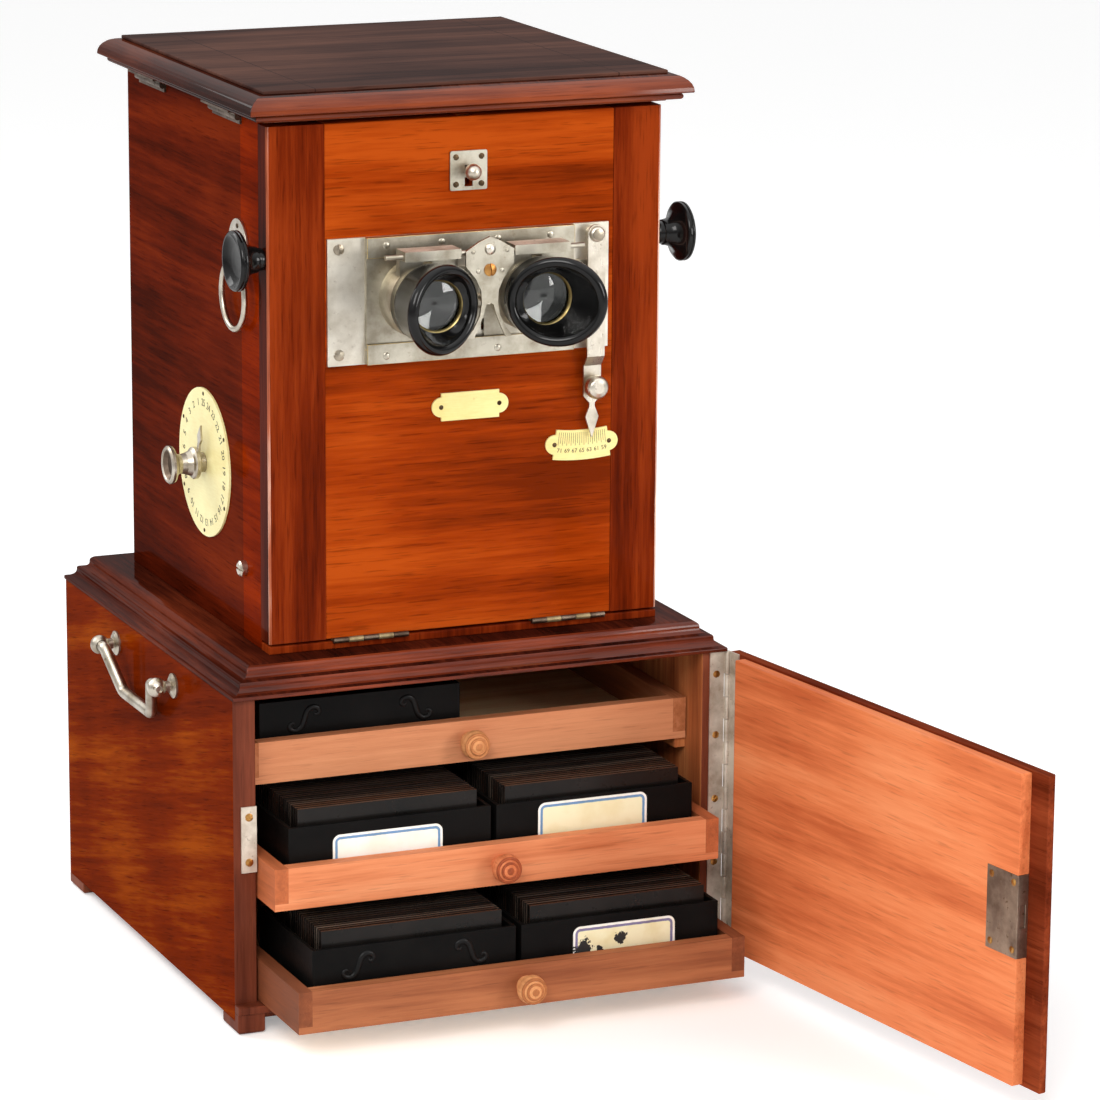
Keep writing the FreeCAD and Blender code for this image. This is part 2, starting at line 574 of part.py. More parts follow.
# Drop front: panel between two cramps, with openings for the lenses, the shaft and the catch
rear_y = face_y + front_t
panel_x0, panel_x1 = -half_case + cramp_left, half_case - cramp_right
shaft_y = face_y + front_t / 2
shaft_bore = rod(focus_r + seat_gap, (-half_case - 1, shaft_y, focus_z), (half_case + 1, shaft_y, focus_z))
panel = box(panel_x0, panel_x1, face_y, rear_y, front_z, front_top)
lens_xs = [lens_mid - lens_pitch / 2, lens_mid + lens_pitch / 2]
opening_half = tube_r + pupil_step + 2.0
opening_z0 = lens_z - tube_r - 2.0
pinion_r = pinion_teeth * pinion_module / 2
opening_z1 = focus_z + pinion_r + pinion_module + 1.0
for x in lens_xs:
    panel = panel.cut(box(x - opening_half, x + opening_half, face_y - 1, rear_y + 1, opening_z0, opening_z1))
catch_x = 0.5
bolt_y0, bolt_y1 = shaft_y - 2.0, shaft_y + 2.0
bolt_z0 = catch_z - catch_w / 2 + catch_travel
pocket = box(catch_x - 4.3, catch_x + 4.3, bolt_y0 - fit_gap, bolt_y1 + fit_gap,
             bolt_z0 - catch_travel - fit_gap, front_top + 1)
slot = box(catch_x - 2.4, catch_x + 2.4, face_y - 3, shaft_y, catch_z - 3 - catch_travel, catch_z + 3)
keep("front_panel", panel.cut(shaft_bore).cut(pocket).cut(slot))
cramps = []
for x0, x1, outer in ((-half_case, panel_x0, -half_case), (panel_x1, half_case, half_case)):
    cramp = box(x0, x1, face_y, rear_y, front_z, front_top)
    cramp = rounded(cramp, front_round, lambda m, d: abs(m.x - outer) < 0.1 and abs(m.y - face_y) < 0.1)
    cramps.append(cramp.cut(shaft_bore))
keep("front_cramps", *cramps)
catch_face = face_y - 1.2
catch = box(catch_x - catch_w / 2, catch_x + catch_w / 2, catch_face, face_y,
            catch_z - catch_w / 2, catch_z + catch_w / 2)
catch = rounded(catch, 1.0, lambda m, d: abs(d.y) > 0.9)
keep("catch_plate", catch.cut(slot))
bolt = box(catch_x - 4, catch_x + 4, bolt_y0, bolt_y1, bolt_z0, front_top - fit_gap)
stem = rod(2.0, (catch_x, bolt_y0 + 1, catch_z), (catch_x, catch_face - 5, catch_z))
ball = Part.makeSphere(4.7, V(catch_x, catch_face - 6.5, catch_z))
keep("catch_bolt", joined([bolt, stem, ball]))

# Ivory plates: a bare nameplate and the scale for the pupil distance
name_z = lens_z - name_drop
name_x0, name_x1 = name_mid - name_w / 2, name_mid + name_w / 2
name_plate = [box(name_x0, name_x1, face_y - ivory_t, face_y, name_z - name_h / 2, name_z + name_h / 2)]
for x in (name_x0, name_x1):
    name_plate.append(rod(ear_r, (x, face_y - ivory_t, name_z), (x, face_y, name_z)))
swing = [math.radians(scale_half * (i / 5.0 - 1.0)) for i in range(11)]
scale_x = lever_x - scale_shift
rim_out = [(scale_x + scale_out * math.sin(a), lever_z - scale_out * math.cos(a)) for a in swing]
rim_in = [(scale_x + scale_in * math.sin(a), lever_z - scale_in * math.cos(a)) for a in swing]
scale_plate = [prism([(x, face_y, z) for x, z in rim_out + rim_in[::-1]], (0, -ivory_t, 0))]
for first, second in ((rim_out[0], rim_in[0]), (rim_out[-1], rim_in[-1])):
    x, z = (first[0] + second[0]) / 2, (first[1] + second[1]) / 2
    scale_plate.append(rod(ear_r, (x, face_y - ivory_t, z), (x, face_y, z)))
keep("ivory_plates", joined(name_plate), joined(scale_plate))

# Lens plate with its two lipped rails, on the drop front
plate_y = face_y - plate_t
plate_x0, plate_x1 = lens_mid - plate_w / 2, lens_mid + plate_w / 2
plate_z0, plate_z1 = lens_z - 1 - plate_h / 2, lens_z - 1 + plate_h / 2
lens_plate = box(plate_x0, plate_x1, plate_y, face_y, plate_z0, plate_z1)
rail_z0, rail_z1 = plate_z0 + rail_h, plate_z1 - rail_h
for x in lens_xs:
    lens_plate = lens_plate.cut(box(x - opening_half, x + opening_half, plate_y - 1, face_y + 1,
                                    opening_z0, rail_z1 - 1.5))
rocker_post = rod(2.0, (lens_mid, plate_y - bridge_out + plate_t, lens_z), (lens_mid, plate_y, lens_z))
lever_y = plate_y - carriage_t - 4.0
lever_post = rod(2.0, (lever_x, lever_y - lever_t - fit_gap, lever_z), (lever_x, plate_y, lever_z))
lever_head = turned([(0, 4.4), (0.6, 4.4), (1.6, 3.4), (2.2, 0.5)],
                    (lever_x, lever_y - lever_t - fit_gap, lever_z), (0, -1, 0))
lever_collar = rod(3.6, (lever_x, lever_y + fit_gap, lever_z), (lever_x, plate_y, lever_z))
keep("lens_plate", joined([lens_plate, rocker_post, lever_post, lever_head, lever_collar]))
carriage_y = plate_y - fit_gap / 2 - carriage_t
lip_y = carriage_y - fit_gap / 2
rail_x0 = lens_mid - rail_l / 2
top_rail = joined([box(rail_x0, rail_x0 + rail_l, lip_y, plate_y, rail_z1 + rail_lip, plate_z1),
                   box(rail_x0, rail_x0 + rail_l, lip_y - rail_lip, lip_y, rail_z1 - rail_lip, plate_z1)])
low_rail = joined([box(rail_x0, rail_x0 + rail_l, lip_y, plate_y, plate_z0, rail_z0 - rail_lip),
                   box(rail_x0, rail_x0 + rail_l, lip_y - rail_lip, lip_y, plate_z0, rail_z0 + rail_lip)])
keep("guide_rails", top_rail, low_rail)

# Bridge between the lenses: roof-shaped top, nose-shaped foot, and the rod that keeps the carriages level
bridge_y = face_y - bridge_out
half_outline = [(0.0, 36.0), (6.0, 33.5), (14.2, 28.5), (14.2, 20.0), (8.5, 13.0), (5.2, 6.0), (4.8, -1.0),
                (6.0, -8.0), (9.6, -15.0), (13.5, -20.0), (9.5, -20.5), (6.3, -14.0), (3.6, -7.0),
                (2.2, -2.0), (0.0, -0.5)]
bridge_line = half_outline + [(-x, z) for x, z in reversed(half_outline[1:-1])]
grow = bridge_half / half_outline[2][0]
bridge = prism([(lens_mid + grow * x, bridge_y, lens_z + grow * z) for x, z in bridge_line], (0, -bridge_t, 0))
rod_z = lens_z + rod_rise
rod_y = face_y - rod_out
level_rod = rod(rod_r, (lens_mid - rod_l / 2, rod_y, rod_z), (lens_mid + rod_l / 2, rod_y, rod_z))
rod_holder = box(lens_mid - 8, lens_mid + 8, bridge_y, rod_y + 3, rod_z - 3, rod_z + 3)
keep("bridge_plate", joined([bridge, rod_holder, level_rod]))

# Lens carriages: sliding plate, sleeve for the tube, and the block that runs on the level rod
sleeve_r = tube_r + seat_gap + sleeve_wall
carriage_in = 8.0
tab_half = 3.0
rack_clear = rack_w / 2 + fit_gap
rack_root = lens_z + tube_r - 1.0
rack_top_z = focus_z - pinion_r + pinion_module
tab_x = lens_mid
slot_w = 2.0 * (1.5 + 0.25)
for name, sx in (("left", -1), ("right", 1)):
    x = lens_mid + sx * lens_pitch / 2
    near, far = lens_mid + sx * carriage_in, lens_mid + sx * (rail_l / 2)
    x0, x1 = sorted((near, far))
    plate = box(x0, x1, carriage_y, carriage_y + carriage_t,
                rail_z0 - rail_lip + fit_gap, rail_z1 + rail_lip - fit_gap)
    tab_z = lens_z - sx * rocker_arm
    other_z = lens_z + sx * rocker_arm
    tab0, tab1 = sorted((near, lens_mid - sx * tab_half))
    plate = plate.fuse(box(tab0, tab1, carriage_y, carriage_y + carriage_t,
                           tab_z - tab_half, tab_z + tab_half))
    notch0, notch1 = sorted((near - sx * 1.0, near + sx * 5.0))
    plate = plate.cut(box(notch0, notch1, carriage_y - 1, carriage_y + carriage_t + 1,
                          other_z - tab_half - 1, other_z + tab_half + 1))
    pieces = [plate, rod(1.2, (tab_x, carriage_y - 3.6, tab_z), (tab_x, carriage_y + 0.5, tab_z))]
    pieces.append(rod(sleeve_r, (x, face_y - sleeve_out, lens_z), (x, carriage_y + carriage_t, lens_z)))
    sleeve_y = face_y - sleeve_out
    pieces.append(box(x - block_half, x + block_half, sleeve_y, sleeve_y + 5, lens_z + 10, rod_z + 3.2))
    pieces.append(box(x - block_half, x + block_half, rod_y - 4.5, sleeve_y, rod_z - 2.2, rod_z + 3.2))
    if sx > 0:
        arm_z = lever_z - lever_arm
        pieces.append(box(far - 1, lever_x + 6, carriage_y, carriage_y + carriage_t, arm_z - 7, arm_z + 7))
    carriage = joined(pieces)
    carriage = carriage.cut(rod(tube_r + seat_gap, (x, sleeve_y - 9, lens_z), (x, face_y + 9, lens_z)))
    carriage = carriage.cut(box(x - rack_clear, x + rack_clear, face_y - sleeve_out - 9, face_y + 9,
                                lens_z, rack_top_z + fit_gap))
    carriage = carriage.cut(rod(rod_r + seat_gap, (x - 18, rod_y, rod_z), (x + 18, rod_y, rod_z)))
    if sx > 0:
        carriage = carriage.cut(box(lever_x - slot_w / 2, lever_x + slot_w / 2, carriage_y - 1,
                                    carriage_y + carriage_t + 1, arm_z - 4, arm_z + 4))
    keep("carriage_" + name, carriage.removeSplitter())

# Lens tubes with their racks, eye lenses and eyecups
tube_y0, tube_y1 = face_y - tube_front, face_y + tube_back
seat_y = tube_y0 + 2.5
for name, sx in (("left", -1), ("right", 1)):
    x = lens_mid + sx * lens_pitch / 2
    barrel = tube(tube_r, tube_r - tube_wall, (x, tube_y0, lens_z), (x, tube_y1, lens_z))
    barrel = barrel.fuse(tube(tube_r - tube_wall + 0.2, glass_r - 1.5,
                              (x, seat_y + 4, lens_z), (x, seat_y + 6, lens_z)))
    strip = rack(rack_l, rack_w, pinion_module, rack_top_z - 2 * pinion_module - rack_root,
                 (x - rack_w / 2, shaft_y - rack_l / 2, rack_root), shaft_y)
    keep("lens_tube_" + name, joined([barrel, strip]))
    disc = Part.Face(Part.Wire([
        Part.Arc(V(0, 0, -2.2), V(glass_r * 0.55, 0, -1.5), V(glass_r, 0, 0)).toShape(),
        Part.LineSegment(V(glass_r, 0, 0), V(glass_r, 0, 2.5)).toShape(),
        Part.LineSegment(V(glass_r, 0, 2.5), V(0, 0, 3.4)).toShape(),
        Part.LineSegment(V(0, 0, 3.4), V(0, 0, -2.2)).toShape()])).revolve(V(), Z, 360)
    disc.Placement = FreeCAD.Placement(V(x, seat_y + 1.4, lens_z), FreeCAD.Rotation(Z, Y))
    keep("eye_lens_" + name, disc)
    base_r = tube_r + 2.6
    flare = [(tube_front - 9.0, base_r - 0.6), (tube_front - 8.0, base_r)]
    reach = cup_temple + 4.0
    for i in range(1, 8):
        s = i / 7.0
        flare.append((tube_front - 8.0 + (reach - tube_front + 8.0) * s,
                      base_r + (cup_r + 2.5 - base_r) * s ** 1.4))
    inside = [(tube_front - 10.0, tube_r), (tube_front, tube_r), (tube_front, glass_r - 0.6)]
    inside += [(d, r - cup_wall) for d, r in flare if d > tube_front + 4.0]
    inside += [(reach + 1, cup_r + 2.5 - cup_wall)]
    cup = turned(flare, (x, face_y, lens_z), (0, -1, 0))
    cup = cup.cut(turned(inside, (x, face_y, lens_z), (0, -1, 0)))
    far_y, near_y = face_y - cup_temple, face_y - cup_nose
    wide = cup_r + 2.5
    low = lens_z - 2 * wide
    past = far_y - 2 * wide
    slant = prism([(x + sx * wide, far_y, low), (x - sx * wide, near_y, low),
                   (x - sx * wide, past, low), (x + sx * wide, past, low)], (0, 0, 4 * wide))
    keep("eyecup_" + name, cup.cut(slant))

# Rocker that makes the two carriages move opposite ways, behind the bridge
rocker_y = carriage_y - 0.6
rocker = box(lens_mid - 3.4, lens_mid + 3.4, rocker_y - 1.5, rocker_y,
             lens_z - rocker_arm - 3.5, lens_z + rocker_arm + 3.5)
rocker = rounded(rocker, 2.5, lambda m, d: abs(d.y) > 0.9)
rocker = rocker.cut(rod(2.0 + seat_gap, (lens_mid, rocker_y - 9, lens_z), (lens_mid, rocker_y + 9, lens_z)))
for sz in (-1, 1):
    z0, z1 = sorted((lens_z + sz * (rocker_arm - 2.0), lens_z + sz * (rocker_arm + 2.2)))
    rocker = rocker.cut(box(lens_mid - 1.5, lens_mid + 1.5, rocker_y - 9, rocker_y + 9, z0, z1))
keep("rocker", rocker)

# Pupil distance lever: flat strip, cranked back to the front below the plate, with knob and pointer
low_y = face_y - 3.2
half = lever_w / 2
top_part = box(lever_x - half, lever_x + half, lever_y - lever_t, lever_y, plate_z0 - 4, lever_z + half)
top_part = rounded(top_part, half - 0.3, lambda m, d: abs(d.y) > 0.9 and m.z > lever_z)
crank = prism([(lever_x - half, lever_y - lever_t, plate_z0 - 4), (lever_x - half, lever_y, plate_z0 - 4),
               (lever_x - half, low_y, plate_z0 - 10), (lever_x - half, low_y - lever_t, plate_z0 - 10)],
              (lever_w, 0, 0))
low_part = box(lever_x - half, lever_x + half, low_y - lever_t, low_y, lever_z - lever_knob - 6, plate_z0 - 10)
tip_z = lever_z - lever_len
neck_half = 0.4 * pointer_half
neck_z = tip_z + 1.5 * pointer_head
head_z = tip_z + pointer_head
low_z = lever_z - lever_knob - 6
pointer_right = [(half, low_z), (neck_half, tip_z + pointer_neck), (neck_half, neck_z), (pointer_half, head_z)]
pointer_line = pointer_right + [(0, tip_z)] + [(-x, z) for x, z in reversed(pointer_right)]
pointer = prism([(lever_x + x, low_y, z) for x, z in pointer_line], (0, -lever_t, 0))
finger = turned([(0, 3.0), (2, 3.0), (3, finger_r - 1.0), (5, finger_r), (finger_len - 3, finger_r),
                 (finger_len - 1, finger_r - 1.2), (finger_len, 3.0)],
                (lever_x, low_y - lever_t + 0.5, lever_z - lever_knob), (0, -1, 0))
pin_z = lever_z - lever_arm
drive_pin = rod(1.5, (lever_x, carriage_y + 0.6, pin_z), (lever_x, lever_y - 0.5, pin_z))
lever = joined([top_part, crank, low_part, pointer, finger, drive_pin])
pivot_bore = rod(2.0 + seat_gap, (lever_x, lever_y - 3 * lever_t, lever_z),
                 (lever_x, lever_y + 3 * lever_t, lever_z))
keep("pupil_lever", lever.cut(pivot_bore))

# Focusing shaft with two long pinions, and its two knobs
shaft = [rod(focus_r, (-half_case - 2, shaft_y, focus_z), (half_case + 2, shaft_y, focus_z))]
for x in lens_xs:
    shaft.append(gear(pinion_teeth, pinion_module, pinion_l, (x - pinion_l / 2, shaft_y, focus_z), (1, 0, 0),
                      180.0 / pinion_teeth))
keep("focus_shaft", joined(shaft))
knob_profile = [(0, 5.8), (1.0, 6.3), (3.2, 6.4), (3.6, 7.2), (6.4, 7.7), (knob_out - 8.6, 9.0),
                (knob_out - 6.4, 11.4), (knob_out - 5.2, 14.0), (knob_out - 4.8, knob_r - 0.9),
                (knob_out - 4.0, knob_r), (knob_out - 2.8, knob_r), (knob_out - 2.5, knob_r - 0.5),
                (knob_out - 2.0, knob_r - 0.5), (knob_out - 1.7, knob_r), (knob_out - 0.6, knob_r - 0.2),
                (knob_out, knob_r - 1.2), (knob_out, knob_r - 2.2), (knob_out - 1.6, knob_r - 3.8),
                (knob_out - 3.0, 9.6), (knob_out - 3.6, 5.0), (knob_out - 3.7, 0.5)]
knobs = []
for sx in (-1, 1):
    knob = turned(knob_profile, (sx * (half_case + fit_gap), shaft_y, focus_z), (sx, 0, 0))
    shaft_end = rod(focus_r, (sx * half_case, shaft_y, focus_z), (sx * (half_case + 2), shaft_y, focus_z))
    knobs.append(knob.cut(shaft_end))
keep("focus_knobs", *knobs)

# Drop ring on its oval plate
eye_x = -half_case - 1.5
oval = Part.Ellipse(V(), ring_plate_h / 2, ring_plate_w / 2).toShape()
ring_plate = Part.Face(Part.Wire(oval)).extrude(V(0, 0, 1.5))
ring_plate.Placement = FreeCAD.Placement(V(-half_case, ring_y, ring_eye_z + ring_plate_h / 2 - 6),
                                         FreeCAD.Rotation(V(0, 0, -1), V(0, 1, 0), V(-1, 0, 0), "ZXY"))
eye_r = ring_wire + 0.3
eye = box(eye_x - 2 * eye_r - 2, eye_x, ring_y - 2, ring_y + 2,
          ring_eye_z - eye_r - 1.5, ring_eye_z + eye_r + 1.5)
ring_x = eye_x - eye_r - 0.6
eye = eye.cut(rod(eye_r, (ring_x, ring_y - 3, ring_eye_z), (ring_x, ring_y + 3, ring_eye_z)))
keep("ring_plate", joined([ring_plate, eye]))
ring_circle = Part.makeTorus(ring_r, ring_wire, V(ring_x, ring_y, ring_eye_z - ring_r), X)
keep("pull_ring", ring_circle)

# Slotted stud low on the left side, the end of a screw that stays the carriage rails
stud = turned([(0, stud_r), (3.2, stud_r), (4.2, stud_r - 1.2)], (-half_case, stud_y, stud_z), (-1, 0, 0))
stud_slot = box(-half_case - 6, -half_case - 2.8, stud_y - 5, stud_y + 5, stud_z - 0.6, stud_z + 0.6)
keep("guide_stud", stud.cut(stud_slot))

# Bail handles: posts with rosettes on both cabinet sides, and a bent bar between the balls
posts = []
for sx in (-1, 1):
    for sy in (-1, 1):
        y = handle_y + sy * handle_pitch / 2
        ball_x = sx * (half_cab + handle_off)
        post = turned([(0, rosette_r), (1.2, rosette_r), (2.4, rosette_r - 2), (3.0, 3.2),
                       (handle_off - 3, 3.0), (handle_off, 3.0)], (sx * half_cab, y, handle_z), (sx, 0, 0))
        post = post.fuse(Part.makeSphere(ball_r, V(ball_x, y, handle_z)))
        pin = rod(2.0 + seat_gap, (ball_x, y - 9, handle_z), (ball_x, y + 9, handle_z))
        relief = rod(handle_r + fit_gap, (ball_x, y - sy * 3.0, handle_z), (ball_x, y - sy * 12.0, handle_z))
        posts.append(post.cut(pin).cut(relief).removeSplitter())
keep("handle_posts", *posts)
for name, sx in (("left", -1), ("right", 1)):
    ball_x = sx * (half_cab + handle_off)
    bar_x = ball_x - sx * handle_lean
    bars = []
    path = []
    for sy in (-1, 1):
        y = handle_y + sy * handle_pitch / 2
        bars += [rod(2.0, (ball_x, y + sy * 4.0, handle_z), (ball_x, y - sy * 6.0, handle_z)),
                 rod(handle_r, (ball_x, y - sy * 3.4, handle_z), (ball_x, y - sy * 6.0, handle_z))]
        arm = [V(ball_x, y - sy * 6.0, handle_z), V(ball_x, y - sy * 9.0, handle_z),
               V(bar_x, y - sy * (6.0 + handle_inset), handle_z - handle_drop)]
        path += arm if sy < 0 else arm[::-1]
    bars.append(bent_bar(path, handle_r, handle_bend))
    keep("bail_" + name, joined(bars))

# Drawers with their knobs: dovetailed boxes on runners, standing out as they were left
drawer_x = inner_x - slide_gap
names = ("top", "middle", "bottom")
for name, z, out in zip(names, drawer_zs, drawer_out):
    y0 = front_y + drawer_set_back - out
    y1 = y0 + drawer_len
    top = z + drawer_h
    inside_x = drawer_x - drawer_wall
    front = box(-drawer_x + drawer_wall, drawer_x - drawer_wall, y0, y0 + drawer_wall, z + drawer_floor_t, top)
    tails = []
    sides = []
    for sx in (-1, 1):
        x0, x1 = sorted((sx * drawer_x, sx * inside_x))
        board = box(x0, x1, y0, y1, z + drawer_floor_t, top)
        tail_h = (drawer_h - drawer_floor_t) / 5
        for k in (1, 3):
            t0 = z + drawer_floor_t + k * tail_h
            tail = prism([(x0, y0, t0), (x0, y0 + drawer_wall, t0 + 1),
                          (x0, y0 + drawer_wall, t0 + tail_h - 1), (x0, y0, t0 + tail_h)], (x1 - x0, 0, 0))
            tails.append((tail, sx))
        sides.append(board)
    for tail, sx in tails:
        i = 0 if sx < 0 else 1
        sides[i] = sides[i].cut(tail)
        front = front.fuse(tail)
    back_board = box(-inside_x, inside_x, y1 - drawer_wall, y1, z + drawer_floor_t, top)
    bottom = box(-drawer_x, drawer_x, y0, y1, z, z + drawer_floor_t)
    turning = [(0, 5.6), (1.5, 5.6), (2.2, 4.0), (4.5, 3.6), (6.0, 6.2), (7.5, knob_disc_r),
               (10, knob_disc_r - 0.2), (12.5, 6.6), (knob_len - 1.6, 4.6), (knob_len - 0.6, 3.4),
               (knob_len, 1.0)]
    knob = turned(turning, (0, y0, z + drawer_h / 2), (0, -1, 0))
    keep("drawer_" + name, front.removeSplitter(), sides[0], sides[1], back_board, bottom, knob)
    trays, slides = [], []
    for sx in ((-1,) if name == "top" else (-1, 1)):
        x0, x1 = sorted((sx * tray_step, sx * (tray_step + tray_w)))
        ty0 = y0 + drawer_wall + tray_gap
        tz = z + drawer_floor_t
        tray = box(x0, x1, ty0, ty0 + tray_l, tz, tz + tray_h)
        hollow = box(x0 + tray_wall, x1 - tray_wall, ty0 + tray_wall, ty0 + tray_l - tray_wall,
                     tz + tray_floor, tz + tray_h + 1)
        trays.append(tray.cut(hollow))
        if name == "top":
            continue
        mid = (x0 + x1) / 2
        for i in range(slide_count):
            y = ty0 + tray_wall + 3 + i * slide_pitch
            slides.append(box(mid - tray_slide_w / 2, mid + tray_slide_w / 2, y - slide_t / 2, y + slide_t / 2,
                              tz + tray_floor, tz + tray_floor + slide_h))
    keep("trays_" + name, *trays)
    if slides:
        keep("slides_" + name, *slides)

# Cabinet door: modelled shut, then swung open on the long hinge at the right
hinge_x = half_cab + hinge_r + 0.1
hinge_y = front_y - door_seat / 2
door_z0, door_z1 = floor_z + fit_gap, cab_z - fit_gap
lip_y1 = front_y - door_seat
lip_y0 = lip_y1 - door_lip_t
inset_x = inner_x - slide_gap
lip = box(-half_cab, half_cab, lip_y0, lip_y1, door_z0, door_z1)
lip = rounded(lip, door_lip_t * 0.6, lambda m, d: abs(d.z) > 0.9 and m.x < 0 and abs(m.y - lip_y0) < 0.1)
inset = box(-inset_x, inset_x, lip_y1, lip_y1 + door_seat + door_inset_t, door_z0 + 1, door_z1 - 1)
inner_y = lip_y1 + door_seat + door_inset_t
lock_z0 = (door_z0 + door_z1) / 2 - lock_h / 2 + lock_rise
lock_x0, lock_x1 = -inset_x - 0.0, -inset_x + lock_w
lock_box = box(lock_x0, lock_x1, inner_y - lock_t, inner_y, lock_z0, lock_z0 + lock_h)
lip = lip.cut(lock_box)
inset = inset.cut(lock_box)
cavity = box(lock_x0 + lock_wall, lock_x1 - lock_wall, inner_y - lock_t + lock_wall, inner_y - lock_wall,
             lock_z0 + lock_wall, lock_z0 + lock_h - lock_wall)
bolt_half = 6.0
lock_mid = lock_z0 + lock_h / 2
bolt_gap = box(lock_x0 - 1, lock_x0 + lock_wall + 1, inner_y - lock_t + 1.8, inner_y - 1.8,
               lock_mid - bolt_half - fit_gap, lock_mid + bolt_half + fit_gap)
lock_case = lock_box.cut(cavity).cut(bolt_gap)
lock_bolt = box(lock_x0 + 0.2, lock_x0 + 18, inner_y - lock_t + 1.8 + fit_gap, inner_y - 1.8 - fit_gap,
                lock_mid - bolt_half, lock_mid + bolt_half)
hinge_start = (hinge_x, hinge_y, door_z0)
hinge_len = door_z1 - door_z0
cab_leaf = joined([box(half_cab - hinge_leaf_w, hinge_x, front_y - hinge_leaf_t, front_y, door_z0, door_z1)])
cab_leaf = clear_barrel(cab_leaf, hinge_knuckles, hinge_len, hinge_r, 0, hinge_start, (0, 0, 1))
cab_barrel = knuckles(hinge_knuckles, hinge_len, hinge_r, hinge_pin_r, 0, hinge_start, (0, 0, 1))
cab_leaf = joined([cab_leaf] + cab_barrel)
door_leaf = box(half_cab - hinge_leaf_w, hinge_x, lip_y1, lip_y1 + hinge_leaf_t, door_z0, door_z1)
door_leaf = clear_barrel(door_leaf, hinge_knuckles, hinge_len, hinge_r, 1, hinge_start, (0, 0, 1))
door_barrel = knuckles(hinge_knuckles, hinge_len, hinge_r, hinge_pin_r, 1, hinge_start, (0, 0, 1))
door_leaf = joined([door_leaf] + door_barrel)
door_leaf = door_leaf.cut(rod(hinge_pin_r + seat_gap, hinge_start, (hinge_x, hinge_y, door_z1)))
for name, shape in (("door_lip", lip), ("door_inset", inset), ("door_hinge_leaf", door_leaf),
                    ("lock_case", lock_case), ("lock_bolt", lock_bolt)):
    swung = shape.copy()
    swung.rotate(V(*hinge_start), Z, door_open)
    keep(name, swung)

# Metal on the stiles: the leaf of the long hinge, and the strike plate where the bolt goes home
strike_t = 1.0
strike_z = lock_z0 + lock_h / 2
strike = box(-half_cab + 4.5, -inner_x, front_y - strike_t, front_y, strike_z - 19, strike_z + 19)
keep("stile_fittings", cab_leaf, strike)

os.makedirs("parts", exist_ok=True)
for name, shape in nodes.items():
    shape.exportStep("parts/" + name + ".step")
    solids = shape.Solids
    good = all(s.isValid() for s in solids)
    print(name, len(solids), "solids", "valid" if good else "INVALID", round(sum(s.Volume for s in solids)))
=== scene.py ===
import math
import bmesh
import bpy
import numpy as np
from mathutils import Matrix, Vector


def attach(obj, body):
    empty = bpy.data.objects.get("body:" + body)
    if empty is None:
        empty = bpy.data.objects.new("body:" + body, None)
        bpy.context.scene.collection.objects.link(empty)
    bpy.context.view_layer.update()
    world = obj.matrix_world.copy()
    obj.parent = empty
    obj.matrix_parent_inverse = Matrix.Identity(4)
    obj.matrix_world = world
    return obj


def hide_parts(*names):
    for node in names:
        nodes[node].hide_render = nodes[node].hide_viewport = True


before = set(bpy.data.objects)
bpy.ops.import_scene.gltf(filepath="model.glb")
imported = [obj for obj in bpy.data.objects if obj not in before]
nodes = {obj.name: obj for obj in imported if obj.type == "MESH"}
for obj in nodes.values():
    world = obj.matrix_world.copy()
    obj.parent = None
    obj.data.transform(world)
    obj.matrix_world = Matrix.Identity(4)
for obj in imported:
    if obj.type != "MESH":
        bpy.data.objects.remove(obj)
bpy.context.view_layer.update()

# Studio: a pale floor under soft light, seen from the left front and a little above.
# The camera has a long lens, so the cabinet's edges stay almost parallel.
scene = bpy.context.scene
scene.view_settings.view_transform = "Standard"


def look_from(place, azimuth, elevation, roll, lens):
    """Camera at a place, aimed by azimuth and elevation and turned a little about its own axis."""
    a, e, t = (math.radians(v) for v in (azimuth, elevation, roll))
    back = Vector((math.sin(a) * math.cos(e), -math.cos(a) * math.cos(e), math.sin(e)))
    right = Vector((math.cos(a), math.sin(a), 0.0))
    up = back.cross(right)
    side = math.cos(t) * right + math.sin(t) * up
    top = math.cos(t) * up - math.sin(t) * right
    turn = Matrix((side, top, back)).transposed().to_4x4()
    data = bpy.data.cameras.new("camera")
    data.lens = lens
    data.sensor_width = 36.0
    data.clip_end = 50.0
    camera = bpy.data.objects.new("camera", data)
    camera.matrix_world = Matrix.Translation(place) @ turn
    scene.collection.objects.link(camera)
    scene.camera = camera


look_from(place=(-1.02047, -2.62474, 0.91245), azimuth=-23.2, elevation=13.62, roll=0.4, lens=161.87)


def soft_light(name, place, target, size, power, tint):
    """A square soft box aimed at a point."""
    data = bpy.data.lights.new(name, "AREA")
    data.shape = "SQUARE"
    data.size = size
    data.energy = power
    data.color = tint
    lamp = bpy.data.objects.new(name, data)
    aim = (Vector(target) - Vector(place)).to_track_quat("-Z", "Y")
    lamp.matrix_world = Matrix.Translation(place) @ aim.to_matrix().to_4x4()
    scene.collection.objects.link(lamp)


soft_light("key_light", (-1.1, -1.9, 1.7), (0.0, -0.1, 0.3), 1.1, 34.0, (1.0, 0.98, 0.95))
soft_light("fill_light", (1.35, -1.95, 0.80), (0.0, -0.1, 0.30), 0.8, 20.0, (1.0, 0.99, 0.97))
soft_light("rear_light", (-1.4, 1.3, 1.6), (0.0, 0.0, 0.3), 1.2, 18.0, (1.0, 1.0, 1.0))


